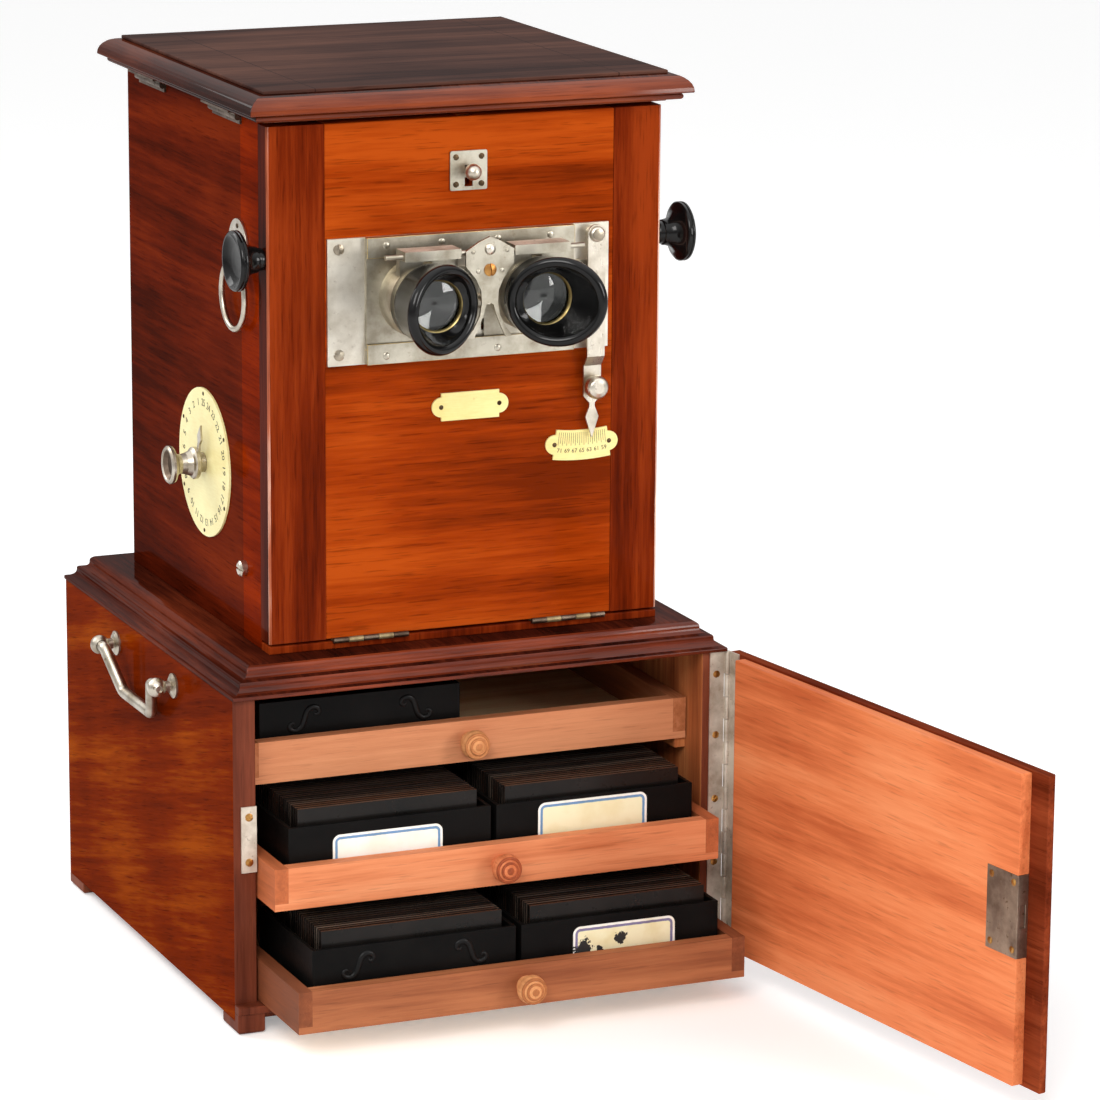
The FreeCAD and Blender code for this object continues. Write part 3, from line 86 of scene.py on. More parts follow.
def node_tools(owner, shader_name="Principled BSDF"):
    """Three short ways to work on the nodes of a material or world: add makes a node, noise makes a noise and
    gives its level, feed fills one of the shader's sockets. A socket takes another node's output or a fixed
    value."""
    tree = owner.node_tree
    shader = tree.nodes[shader_name]

    def fill(socket, value):
        if isinstance(value, bpy.types.NodeSocket):
            tree.links.new(value, socket)
        else:
            socket.default_value = value

    def add(kind, inputs=None, **settings):
        node = tree.nodes.new(kind)
        for key, value in settings.items():
            if hasattr(node, key):
                setattr(node, key, value)
            else:
                node.inputs[key].default_value = value
        for key, value in (inputs or {}).items():
            fill(node.inputs[key], value)
        return node

    def noise(vector, scale, detail, rough=0.5, distortion=0.0):
        return add("ShaderNodeTexNoise", {"Vector": vector}, Scale=scale, Detail=detail, Roughness=rough,
                   Distortion=distortion).outputs["Fac"]

    def feed(name, value):
        fill(shader.inputs[name], value)

    return add, noise, feed


def new_material(name):
    """An empty node material, with its tools."""
    material = bpy.data.materials.new(name)
    material.use_nodes = True
    return material, *node_tools(material)


FLOOR_REACH, FLOOR_Z = 8.0, -0.0003
floor_mesh = bpy.data.meshes.new("floor")
floor_corners = np.array(((-1, -1, 0), (1, -1, 0), (1, 1, 0), (-1, 1, 0))) * FLOOR_REACH + (0.0, 0.0, FLOOR_Z)
floor_mesh.from_pydata(floor_corners.tolist(), [], [(0, 1, 2, 3)])
floor = bpy.data.objects.new("floor", floor_mesh)
scene.collection.objects.link(floor)
floor_paint, add, _, feed = new_material("floor_paint")
feed("Base Color", (0.93, 0.93, 0.93, 1.0))
feed("Roughness", 0.75)
feed("Emission Color", (1.0, 1.0, 1.0, 1.0))
camera_ray = add("ShaderNodeLightPath").outputs["Is Camera Ray"]
watched = add("ShaderNodeMath", {0: camera_ray, 1: 0.30}, operation="MULTIPLY")
feed("Emission Strength", watched.outputs["Value"])
floor_mesh.materials.append(floor_paint)
world = bpy.data.worlds.new("studio")
scene.world = world
world.use_nodes = True
add, _, feed = node_tools(world, "Background")
rays = add("ShaderNodeLightPath")
seen = add("ShaderNodeMath", {0: rays.outputs["Is Camera Ray"], 1: rays.outputs["Is Glossy Ray"]},
           operation="MAXIMUM")
mirrored = add("ShaderNodeMath", {0: seen.outputs["Value"], 1: rays.outputs["Is Transmission Ray"]},
               operation="MAXIMUM")
level = add("ShaderNodeMix", {"Factor": mirrored.outputs["Value"]}, A=0.62, B=1.0)
toward = add("ShaderNodeSeparateXYZ", {"Vector": add("ShaderNodeTexCoord").outputs["Generated"]})
sky = add("ShaderNodeMapRange", {"Value": toward.outputs["Z"], "From Min": 0.05, "From Max": 0.75,
                                 "To Min": 0.40, "To Max": 1.70})
polished = add("ShaderNodeMix", {"Factor": rays.outputs["Is Glossy Ray"], "A": level.outputs["Result"],
                                 "B": sky.outputs["Result"]})
feed("Strength", polished.outputs["Result"])
feed("Color", (1.0, 1.0, 1.0, 1.0))

# Viewer case: two sides with level grain and a warmer strip at the front, back, sill and the drop front.
# The front is a board with level grain between two upright cramps that keep it flat.
# It is French-polished mahogany: slow growth bands, fine fibres and short dark pores run along each board.
GRAIN = {"x": (6.0, 120.0, 120.0), "y": (120.0, 6.0, 120.0), "z": (120.0, 120.0, 6.0)}


def tone(red, green, blue):
    """A colour written in screen values from 0 to 255, as linear light."""
    values = np.array((red, green, blue)) / 255.0
    return tuple(np.where(values < 0.04045, values / 12.92, ((values + 0.055) / 1.055) ** 2.4).tolist())


def ramp(add, source, stops):
    """A colour ramp through (place, colour) stops."""
    node = add("ShaderNodeValToRGB", {"Fac": source})
    while len(node.color_ramp.elements) < len(stops):
        node.color_ramp.elements.new(0.5)
    for element, (place, colour) in zip(node.color_ramp.elements, stops):
        element.position = place
        element.color = (*colour, 1.0)
    return node.outputs["Color"]


def timber(name, pale, mid, dark, along, polish, shift, turn=(0.0, 0.0, 0.0), wear=0.0, gloss=0.03):
    """Board: bands and fibres stretched along one axis, pores pressed in, polish as a clear coat."""
    material, add, noise, feed = new_material(name)
    place = add("ShaderNodeTexCoord").outputs["Object"]
    lean = tuple(math.radians(v) for v in turn)
    board = add("ShaderNodeMapping", {"Vector": place}, Location=shift, Rotation=lean).outputs["Vector"]
    stretch = GRAIN[along]
    broad = add("ShaderNodeMapping", {"Vector": board}, Scale=tuple(v * 0.16 for v in stretch)).outputs["Vector"]
    fine = add("ShaderNodeMapping", {"Vector": board}, Scale=stretch).outputs["Vector"]
    bands = noise(broad, 1.5, 4.0, 0.5, 1.1)
    fibres = noise(fine, 3.0, 6.0, 0.62)
    pores = noise(fine, 7.5, 2.0)
    cloud = noise(board, 7.0, 3.0)
    grain = add("ShaderNodeMix", {"A": bands, "B": fibres}, Factor=0.36)
    figure = add("ShaderNodeMix", {"A": grain.outputs["Result"], "B": cloud}, Factor=0.34)
    colour = ramp(add, figure.outputs["Result"], [(0.40, dark), (0.50, mid), (0.60, pale)])
    pits = ramp(add, pores, [(0.29, (0.42, 0.38, 0.36)), (0.41, (1.0, 1.0, 1.0))])
    stained = add("ShaderNodeMix", {"A": colour, "B": pits, "Factor": 0.25 + 0.35 * polish}, data_type="RGBA",
                  blend_type="MULTIPLY")
    surface_colour = stained.outputs["Result"]
    if wear > 0.0:
        scuffs = noise(board, 60.0, 8.0, 0.75)
        marks = ramp(add, scuffs, [(0.66, (0.0, 0.0, 0.0)), (0.74, (wear, wear, wear))])
        scuffed = add("ShaderNodeMix", {"A": surface_colour, "Factor": marks, "B": (*pale, 1.0)}, data_type="RGBA")
        surface_colour = scuffed.outputs["Result"]
    feed("Base Color", surface_colour)
    rough = add("ShaderNodeMapRange", {"Value": fibres, "To Min": 0.66 - 0.36 * polish,
                                       "To Max": 0.84 - 0.40 * polish})
    feed("Roughness", rough.outputs["Result"])
    bump = add("ShaderNodeBump", {"Height": pores, "Strength": 0.22 - 0.12 * polish, "Distance": 0.0006})
    feed("Normal", bump.outputs["Normal"])
    feed("Specular IOR Level", 0.30 * (1.0 - polish))
    feed("Coat Weight", gloss)
    feed("Coat Roughness", 0.07)
    return material


def dress(name, *materials):
    """Gives a node its material or materials."""
    data = nodes[name].data
    data.materials.clear()
    for material in materials:
        data.materials.append(material)


def ease_edges(name, width, slot=-1):
    """Softens a piece's sharp edges by a small worn bevel in millimetres, in its own material slot if given."""
    weld = nodes[name].modifiers.new("weld", "WELD")
    weld.merge_threshold = 0.00002
    bevel = nodes[name].modifiers.new("worn_edges", "BEVEL")
    bevel.width = width / 1000.0
    bevel.segments = 2
    bevel.limit_method = "ANGLE"
    bevel.angle_limit = math.radians(50.0)
    bevel.harden_normals = True
    bevel.material = slot


SIDE_STRIP_Y, HAIRLINE = -0.082, 0.0003
side_wood = timber("side_mahogany", tone(114, 37, 10), tone(90, 25, 7), tone(60, 15, 4), "y", 1.0,
                   (0.31, 0.07, 0.12), wear=0.25)
back_wood = timber("back_mahogany", tone(122, 50, 20), tone(96, 34, 13), tone(66, 20, 8), "x", 0.8,
                   (0.11, 0.27, 0.42))
front_wood = timber("front_mahogany", tone(168, 69, 16), tone(141, 49, 7), tone(102, 32, 4), "x", 1.0,
                    (0.07, 0.37, 0.16), wear=0.3)
cramp_wood = timber("cramp_mahogany", tone(136, 50, 15), tone(103, 31, 7), tone(62, 15, 4), "z", 1.0,
                    (0.53, 0.17, 0.33), wear=0.2)


def second_tone(material, axis, test, limit, colour, blend):
    """Second tone on a board: where the place along one axis passes a test, to within a hairline,
    a colour is blended into the first."""
    add, _, feed = node_tools(material)
    first = material.node_tree.nodes["Principled BSDF"].inputs["Base Color"].links[0].from_socket
    lane = add("ShaderNodeSeparateXYZ", {"Vector": add("ShaderNodeTexCoord").outputs["Object"]})
    passed = add("ShaderNodeMath", {0: lane.outputs[axis], 1: limit, 2: HAIRLINE}, operation=test)
    mixed = add("ShaderNodeMix", {"Factor": passed.outputs["Value"], "A": first, "B": (*colour, 1.0)},
                data_type="RGBA", blend_type=blend)
    feed("Base Color", mixed.outputs["Result"])


second_tone(side_wood, "Y", "LESS_THAN", SIDE_STRIP_Y, (1.55, 1.2, 0.35), "MULTIPLY")
for name, wood in (("case_sides", side_wood), ("case_back", back_wood), ("case_sill", cramp_wood),
                   ("front_panel", front_wood), ("front_cramps", cramp_wood)):
    dress(name, wood)
    ease_edges(name, 0.7)


def sort_faces(name, rule):
    """Picks a material slot for each face of a node from its middle and normal, both as arrays in millimetres."""
    data = nodes[name].data
    count = len(data.polygons)
    middle, normal = np.zeros(count * 3), np.zeros(count * 3)
    data.polygons.foreach_get("center", middle)
    data.polygons.foreach_get("normal", normal)
    slots = rule(middle.reshape(-1, 3) * 1000.0, normal.reshape(-1, 3))
    data.polygons.foreach_set("material_index", slots.astype(np.int32))
    data.update()


edge_wood = timber("edge_mahogany", tone(98, 34, 14), tone(74, 22, 9), tone(42, 11, 5), "z", 1.0,
                   (0.41, 0.23, 0.19), wear=0.2, gloss=0.10)
# Pale glossy wood on the slanting front corners of the cramps: a painted highlight along the edge.
highlight_wood = timber("painted_corner_highlight", tone(246, 206, 184), tone(172, 92, 62), tone(104, 42, 22), "z", 1.0,
                   (0.19, 0.47, 0.25), gloss=0.3)
dress("front_cramps", cramp_wood, edge_wood, highlight_wood)


def cramp_face(at, facing):
    """Slanting front corners carry a pale painted highlight, the outer edges are darker, the rest is the cramp's
    own wood.
    """
    corner = (np.abs(facing[:, 0]) > 0.2) & (facing[:, 1] < -0.2)
    return np.where(corner, 2, np.where(np.abs(facing[:, 0]) > 0.9, 1, 0))


sort_faces("front_cramps", cramp_face)

# Lid and base moulding: run by hand with moulding planes, mitred at the corners, dark with handling.
# The lid's raised panel is a brown grey, its grey a painted reflection on the polish, where the front edges still
# show their red.
CASE_HALF_W, CASE_HALF_D, CASE_MID_Y, CLEAT_X = 117.5, 119.0, -5.0, 0.090
lid_wood = timber("lid_mahogany", tone(132, 60, 30), tone(92, 34, 14), tone(50, 15, 6), "x", 1.0,
                  (0.23, 0.51, 0.09), wear=0.5, gloss=0.55)
# The lid top's greyish tones are brown wood with a painted reflection mixed into its colour.
lid_top_wood = timber("lid_top_mahogany", tone(98, 64, 52), tone(76, 48, 40), tone(50, 29, 25), "x", 1.0,
                      (0.43, 0.21, 0.29), wear=0.6, gloss=0.12)
base_wood = timber("base_mahogany", tone(144, 64, 35), tone(98, 38, 20), tone(54, 19, 10), "x", 1.0,
                   (0.61, 0.13, 0.27), wear=0.6, gloss=0.45)
lid_end_wood = timber("lid_end_mahogany", tone(96, 44, 26), tone(64, 24, 13), tone(36, 12, 6), "y", 1.0,
                      (0.33, 0.11, 0.49), wear=0.5, gloss=0.32)
base_end_wood = timber("base_end_mahogany", tone(104, 42, 22), tone(66, 23, 12), tone(36, 11, 6), "y", 1.0,
                       (0.21, 0.63, 0.17), wear=0.5, gloss=0.14)


def mitred(at, facing):
    """End runs and flat tops of a moulding: faces further out past the case's side than past its front or back,
    and level faces."""
    past_front = np.abs(at[:, 1] - CASE_MID_Y) - CASE_HALF_D
    end_run = np.abs(at[:, 0]) - CASE_HALF_W > np.maximum(past_front, 0.5)
    return np.where(end_run | (facing[:, 2] > 0.9), 1, 0)


for across in (-CLEAT_X, CLEAT_X):
    second_tone(lid_top_wood, "X", "COMPARE", across, tone(40, 22, 18), "MIX")
dress("lid_panel", lid_top_wood)
for name, wood, end_wood in (("lid_moulding", lid_wood, lid_end_wood), ("base_moulding", base_wood, base_end_wood)):
    dress(name, wood, end_wood)
    sort_faces(name, mitred)
for name in ("lid_panel", "lid_moulding", "base_moulding"):
    ease_edges(name, 0.6)

# Cabinet: sides with a golden streak in the red, back, floor and feet.
# Inside, the bare faces are lighter; the drawer runners are screwed to them.
INNER_HALF_W = 136.0
cabinet_wood = timber("cabinet_mahogany", tone(150, 66, 9), tone(116, 36, 3), tone(90, 25, 3), "y", 1.0,
                      (0.17, 0.43, 0.21), turn=(14.0, 0.0, 0.0), wear=0.3)
stile_wood = timber("stile_mahogany", tone(134, 72, 46), tone(114, 55, 35), tone(88, 38, 22), "z", 0.6,
                    (0.37, 0.29, 0.15), wear=0.3)
inner_wood = timber("inner_cedar", tone(206, 132, 78), tone(176, 98, 52), tone(132, 62, 28), "z", 0.1,
                    (0.13, 0.61, 0.37))
for name, wood in (("lower_floor", stile_wood), ("feet", stile_wood), ("drawer_runners", inner_wood)):
    dress(name, wood)
    ease_edges(name, 0.6)
dress("lower_back", inner_wood, side_wood)
sort_faces("lower_back", lambda at, facing: np.where(facing[:, 1] > 0.9, 1, 0))
ease_edges("lower_back", 0.6)
dress("lower_sides", cabinet_wood, stile_wood, inner_wood)
sort_faces("lower_sides", lambda at, facing: np.where(facing[:, 1] < -0.9, 1,
                                                      np.where(np.abs(at[:, 0]) < INNER_HALF_W, 2, 0)))
ease_edges("lower_sides", 0.8)

# Cabinet door: polished outside and round its lip, bare cedar inside.
# It hangs on a long hinge at the right and stands a little past square.
DOOR_TURN = 98.7
door_wood = timber("door_mahogany", tone(146, 66, 36), tone(112, 44, 22), tone(78, 26, 10), "x", 1.0,
                   (0.47, 0.33, 0.11), turn=(0.0, 0.0, -DOOR_TURN), wear=0.4)
lining_wood = timber("lining_cedar", tone(244, 150, 98), tone(230, 128, 76), tone(200, 98, 52), "x", 0.15,
                     (0.29, 0.53, 0.23), turn=(0.0, 0.0, -DOOR_TURN))
for name, wood in (("door_lip", door_wood), ("door_inset", lining_wood)):
    dress(name, wood)
    ease_edges(name, 0.7)

# Drawers: cedar fronts and sides dovetailed together, pale bottoms lightened further as painted light, turned beech
# knobs.
# The middle drawer has stayed redder than the other two.
FRONT_THICK, TAIL_HALF_W, BOTTOM_THICK = 8.05, 126.55, 4.05
knob_wood = timber("knob_beech", tone(226, 164, 112), tone(212, 146, 94), tone(182, 116, 70), "y", 0.35,
                   (0.71, 0.19, 0.41))
# The beads are darker than the knobs, partly their own polished tone and partly painted shade for the grooves round
# them.
bead_wood = timber("bead_beech", tone(194, 128, 80), tone(172, 106, 62), tone(136, 78, 42), "y", 0.35,
                   (0.27, 0.59, 0.11))
red_knob_wood = timber("knob_cherry", tone(222, 138, 92), tone(206, 116, 72), tone(172, 88, 50), "y", 0.35,
                       (0.21, 0.39, 0.31))
red_bead_wood = timber("bead_cherry", tone(184, 100, 60), tone(162, 80, 46), tone(124, 58, 32), "y", 0.35,
                       (0.43, 0.15, 0.53))
# The bottoms are pale board, lightened further as painted light because they lie in shade.
bottom_wood_painted_light = timber("bottom_board", tone(252, 222, 176), tone(246, 206, 156), tone(224, 172, 118), "x", 0.05,
                     (0.27, 0.15, 0.57))
DRAWERS = {"top": (-130.0, 136.0), "middle": (-177.0, 76.5), "bottom": (-214.0, 17.0)}
CEDARS = {"top": (tone(212, 142, 100), tone(195, 124, 84), tone(168, 98, 58)),
          "middle": (tone(230, 150, 104), tone(217, 132, 87), tone(190, 103, 60)),
          "bottom": (tone(178, 110, 70), tone(158, 93, 57), tone(128, 68, 38))}
for index, (level_name, (front_y, low_z)) in enumerate(DRAWERS.items()):
    pale, mid, dark = CEDARS[level_name]
    offset = (0.13 * index, 0.31, 0.17 * index)
    front_cedar = timber("front_cedar_" + level_name, pale, mid, dark, "x", 0.15, offset)
    side_cedar = timber("side_cedar_" + level_name, mid, dark, tuple(0.7 * v for v in dark), "y", 0.1, offset)
    turned_wood = red_knob_wood if level_name == "middle" else knob_wood
    dress("drawer_" + level_name, front_cedar, side_cedar, bottom_wood_painted_light, turned_wood)

    def board_of(at, facing, y0=front_y, z0=low_z):
        """Knob before the front; front board near it unless it is a tail end; bottom low down; sides elsewhere."""
        knob = at[:, 1] < y0 - 0.05
        front = (at[:, 1] < y0 + FRONT_THICK) & (np.abs(at[:, 0]) < TAIL_HALF_W)
        bottom = at[:, 2] < z0 + BOTTOM_THICK
        return np.where(knob, 3, np.where(bottom & (np.abs(facing[:, 2]) > 0.9), 2, np.where(front, 0, 1)))

    sort_faces("drawer_" + level_name, board_of)

# Nickel plate on brass: catch, lens unit, hinges, handles, dial knob and lock.
# It has dulled to a warm grey, with fine wiping scratches and brown spots where brass shows.
DIAL, KNOB_FACE_X, HOLLOW_R = (-118.7, -19.3, 296.3), -134.0, 8.5


def plated(name, bright, dull, rough, spots, shift, metal=1.0):
    """Worn plate: a cloud mixes bright and dull, fine stretched scratches and spots roughen it."""
    material, add, noise, feed = new_material(name)
    place = add("ShaderNodeTexCoord").outputs["Object"]
    moved = add("ShaderNodeMapping", {"Vector": place}, Location=shift).outputs["Vector"]
    cloud = noise(moved, 55.0, 5.0, 0.6)
    hair = add("ShaderNodeMapping", {"Vector": moved}, Scale=(900.0, 900.0, 60.0)).outputs["Vector"]
    scratch = noise(hair, 1.0, 3.0, 0.7)
    speck = noise(moved, 260.0, 4.0, 0.6)
    colour = ramp(add, cloud, [(0.36, dull), (0.62, bright)])
    fade = ramp(add, speck, [(0.63, (0.0, 0.0, 0.0)), (0.72, (spots, spots, spots))])
    spotted = add("ShaderNodeMix", {"A": colour, "Factor": fade, "B": (0.16, 0.10, 0.055, 1.0)}, data_type="RGBA")
    feed("Base Color", spotted.outputs["Result"])
    mixed = add("ShaderNodeMix", {"A": cloud, "B": scratch}, Factor=0.45)
    span = add("ShaderNodeMapRange", {"Value": mixed.outputs["Result"], "From Min": 0.3, "From Max": 0.7,
                                      "To Min": rough + 0.10, "To Max": rough - 0.08})
    feed("Roughness", span.outputs["Result"])
    bump = add("ShaderNodeBump", {"Height": scratch, "Strength": 0.06, "Distance": 0.0003})
    feed("Normal", bump.outputs["Normal"])
    feed("Metallic", metal)
    return material


plate_nickel = plated("plate_nickel", tone(224, 218, 205), tone(192, 184, 169), 0.40, 0.3, (0.2, 0.1, 0.4))
carriage_nickel = plated("carriage_nickel", tone(190, 184, 169), tone(148, 140, 124), 0.36, 0.3, (0.6, 0.7, 0.1))
rail_nickel = plated("rail_nickel", tone(193, 187, 172), tone(152, 144, 128), 0.34, 0.35, (0.5, 0.3, 0.1))
small_nickel = plated("fitting_nickel", tone(216, 208, 194), tone(176, 166, 150), 0.30, 0.5, (0.7, 0.2, 0.3))
handle_nickel = plated("handle_nickel", tone(206, 198, 184), tone(150, 138, 120), 0.32, 0.9, (0.3, 0.6, 0.2))
old_nickel = plated("old_nickel", tone(176, 158, 140), tone(126, 106, 92), 0.42, 1.0, (0.1, 0.8, 0.5))
hinge_nickel = plated("hinge_nickel", tone(220, 209, 194), tone(168, 152, 134), 0.40, 0.8, (0.8, 0.4, 0.6),
                      metal=0.45)
dark_nickel = plated("dark_nickel", tone(122, 106, 92), tone(74, 60, 50), 0.44, 1.0, (0.2, 0.9, 0.3))
hinge_brass = plated("drop_hinge_brass", tone(172, 154, 116), tone(112, 94, 64), 0.44, 1.0, (0.5, 0.2, 0.8),
                     metal=0.6)
PLATING = (
    (plate_nickel, ("lens_plate",)), (carriage_nickel, ("bridge_plate", "catch_plate")),
    (rail_nickel, ("guide_rails", "lens_tube_left", "lens_tube_right", "rocker")),
    (small_nickel, ("catch_bolt", "pupil_lever", "focus_shaft", "ring_plate", "pull_ring", "guide_stud")),
    (handle_nickel, ("handle_posts", "bail_left", "bail_right")), (old_nickel, ("lock_case", "lock_bolt")),
    (hinge_nickel, ("stile_fittings", "door_hinge_leaf")), (hinge_brass, ("drop_hinge_leaves",)),
    (dark_nickel, ("lid_hinge_leaves", "case_hinge_leaves")))
for metal, names in PLATING:
    for name in names:
        dress(name, metal)
# Painted light on the carriages: their level tops take the paler, less metallic hinge nickel, so they show no red
# reflection of the wood.
for name in ("carriage_left", "carriage_right"):
    dress(name, carriage_nickel, hinge_nickel)
    sort_faces(name, lambda at, facing: np.where(facing[:, 2] > 0.9, 1, 0))
# The dial knob's hollow end takes dark nickel as painted shade inside the hollow.
dress("dial_knob", handle_nickel, dark_nickel)


def hollow_painted_shade(at, facing):
    """Painted shade in the hollow of the dial knob: faces near the dial's axis, far out from the case, that look
    outward.
    """
    off_axis = np.hypot(at[:, 1] - DIAL[1], at[:, 2] - DIAL[2])
    return np.where((at[:, 0] < KNOB_FACE_X) & (off_axis < HOLLOW_R) & (facing[:, 0] < -0.2), 1, 0)


sort_faces("dial_knob", hollow_painted_shade)
for name in ("pupil_lever", "catch_plate", "ring_plate", "lock_case", "stile_fittings"):
    ease_edges(name, 0.25)
worn_brass = plated("worn_brass", tone(212, 188, 130), tone(150, 120, 72), 0.36, 0.4, (0.9, 0.1, 0.7))
for name in ("lens_plate", "guide_rails", "bridge_plate", "carriage_left", "carriage_right"):
    nodes[name].data.materials.append(worn_brass)
    ease_edges(name, 0.3, len(nodes[name].data.materials) - 1)

# Eye tubes and lenses: brass tubes blackened inside, each with a thick lens under a turned ring.
# The glass is deep and clear, so it shows a bright window over a dark tube, with a warm edge painted as the amber
# colour of the turned ring.
LENS_X, LENS_Z, FACE_Y = {"left": -31.7, "right": 33.3}, 405.5, -124.0
FRONT = np.array(((1.0, 0.0, 0.0), (0.0, 0.0, 1.0), (0.0, -1.0, 0.0)))


def turned(profile, sides=64):
    """Turned form: (radius, height) pairs carried once round the local upright axis."""
    radius, height = np.array(profile, float).T
    angle = np.linspace(0.0, 2.0 * np.pi, sides, endpoint=False)[:, None]
    return np.stack([np.cos(angle) * radius, np.sin(angle) * radius, 0.0 * angle + height], axis=-1)


def placed(points, origin, axes):
    """Local points set at an origin along three axes given as rows."""
    return points @ axes + np.array(origin, float)


def build(name, grids, material, body, round_u=True, round_v=False, smooth=40.0):
    """Joins grids of points, in millimetres, into one mesh of quads; a round direction closes on itself."""
    corners, faces, start = [], [], 0
    for grid in grids:
        rows, columns = grid.shape[:2]
        index = start + np.arange(rows * columns).reshape(rows, columns)
        index = np.vstack([index, index[:1]]) if round_u else index
        index = np.hstack([index, index[:, :1]]) if round_v else index
        quads = np.stack([index[:-1, :-1], index[1:, :-1], index[1:, 1:], index[:-1, 1:]], axis=-1)
        corners.append(grid.reshape(-1, 3) / 1000.0)
        faces.append(quads.reshape(-1, 4))
        start += rows * columns
    mesh = bpy.data.meshes.new(name)
    mesh.from_pydata(np.vstack(corners).tolist(), [], np.vstack(faces).tolist())
    form = bmesh.new()
    form.from_mesh(mesh)
    bmesh.ops.remove_doubles(form, verts=form.verts, dist=0.000002)
    bmesh.ops.dissolve_degenerate(form, dist=0.000001, edges=form.edges)
    bmesh.ops.recalc_face_normals(form, faces=form.faces)
    form.to_mesh(mesh)
    form.free()
    mesh.shade_smooth()
    mesh.set_sharp_from_angle(angle=math.radians(smooth))
    mesh.materials.append(material)
    piece = bpy.data.objects.new(name, mesh)
    scene.collection.objects.link(piece)
    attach(piece, body)
    return piece


def plain_surface(name, colour, deep, rough, grain, coat=0.0, sheen=0.16, grit=0.12):
    """Painted or moulded surface: two close tones in clouds, fine grain in roughness and bump."""
    material, add, noise, feed = new_material(name)
    place = add("ShaderNodeTexCoord").outputs["Object"]
    cloud = noise(place, 40.0, 5.0, 0.6)
    fine = noise(place, grain, 4.0, 0.6)
    feed("Base Color", ramp(add, cloud, [(0.36, deep), (0.64, colour)]))
    span = add("ShaderNodeMapRange", {"Value": fine, "To Min": rough - grit, "To Max": rough + grit})
    feed("Roughness", span.outputs["Result"])
    bump = add("ShaderNodeBump", {"Height": fine, "Strength": 0.8 * grit, "Distance": 0.0004})
    feed("Normal", bump.outputs["Normal"])
    feed("Specular IOR Level", sheen + coat)
    feed("Coat Weight", coat)
    feed("Coat Roughness", 0.08)
    return material


lining_black = plain_surface("tube_lining_black", (0.012, 0.011, 0.010), (0.006, 0.006, 0.005), 0.65, 400.0)
lens_glass, add, noise, feed = new_material("eye_lens_glass")
place = add("ShaderNodeTexCoord").outputs["Object"]
wipe = noise(place, 140.0, 4.0)
haze = add("ShaderNodeMapRange", {"Value": wipe, "To Min": 0.01, "To Max": 0.07})
feed("Roughness", haze.outputs["Result"])
feed("Base Color", ramp(add, wipe, [(0.3, (0.93, 0.97, 0.95)), (0.7, (0.98, 0.99, 0.97))]))
feed("Transmission Weight", 1.0)
feed("IOR", 1.58)
# The turned ring's amber colour is a painted reflection of the lens's warm edge.
amber_edge_reflection = plated("amber_edge_reflection", tone(164, 148, 100), tone(104, 88, 54), 0.30, 0.4, (0.4, 0.4, 0.9))
LINING = ((18.45, 14.0), (18.45, -29.0), (17.4, -29.0), (17.4, 13.2), (15.8, 13.6), (15.8, 14.0), (18.45, 14.0))
RING = ((17.0, 34.2), (17.0, 35.7), (15.6, 35.9), (14.0, 35.0), (13.6, 34.1), (14.0, 33.7), (17.0, 34.2))
for side, x in LENS_X.items():
    dress("eye_lens_" + side, lens_glass)
    for part, profile, material, slot in (("tube_lining_", LINING, lining_black, "black_lacquer"),
                                          ("lens_ring_", RING, amber_edge_reflection, "nickel")):
        form = placed(turned(profile), (x, FACE_Y, LENS_Z), FRONT)
        build(part + side, [form], material, side + "_eyepiece")

# Eyecups: hard rubber, turned and then cut on the slant so the temple side shields the eye.
# Their rims are rolled fat and polished; the hollow inside is a smooth bowl.
ROOT_D, NOSE_D, TEMPLE_D, SEAT_D, BOWL_D, BACK_D = 28.0, 38.2, 61.2, 36.1, 36.4, 27.0
ROOT_R, NOSE_R, TEMPLE_R, SEAT_R, BACK_R, TUBE_R = 22.6, 22.9, 26.6, 14.7, 21.9, 20.05
ebonite = plain_surface("polished_ebonite", (0.006, 0.0055, 0.0055), (0.003, 0.003, 0.003), 0.17, 260.0,
                        coat=0.15, sheen=0.03, grit=0.03)


def eyecup(temple):
    """Bowl whose reach swings from nose to temple with the cosine of the angle round the axis.
    The profile runs up the outside, over a round lip and down the bowl to the tube's mouth."""
    angle = np.linspace(0.0, 2.0 * np.pi, 96, endpoint=False)[:, None]
    lean = 0.5 + 0.5 * temple * np.cos(angle)
    reach = NOSE_D + (TEMPLE_D - NOSE_D) * lean
    rim = NOSE_R + (TEMPLE_R - NOSE_R) * ((reach - ROOT_D) / 34.0) ** 1.2
    lip = 2.7 + 0.5 * lean
    climb = np.linspace(0.0, 1.0, 12)[None, :]
    outer_d = ROOT_D + (reach - lip - ROOT_D) * climb
    outer_r = ROOT_R + (rim - ROOT_R) * climb ** 1.5
    arc = np.linspace(0.0, np.pi, 13)[None, 1:-1]
    lip_d = reach - lip + lip * np.sin(arc)
    lip_r = rim - lip + lip * np.cos(arc)
    fall = np.linspace(0.0, 1.0, 14)[None, :]
    bowl_d = reach - lip - (reach - lip - BOWL_D) * fall
    bowl_r = rim - 2.0 * lip - (rim - 2.0 * lip - SEAT_R) * fall ** 1.3
    mouth = np.ones_like(angle)
    back_d = mouth * np.array((SEAT_D, SEAT_D, BACK_D, BACK_D, ROOT_D))
    back_r = mouth * np.array((SEAT_R, TUBE_R, TUBE_R, BACK_R, ROOT_R))
    depth = np.hstack([outer_d, lip_d, bowl_d, back_d])
    radius = np.hstack([outer_r, lip_r, bowl_r, back_r])
    return np.stack([np.cos(angle) * radius, np.sin(angle) * radius, depth], axis=-1)


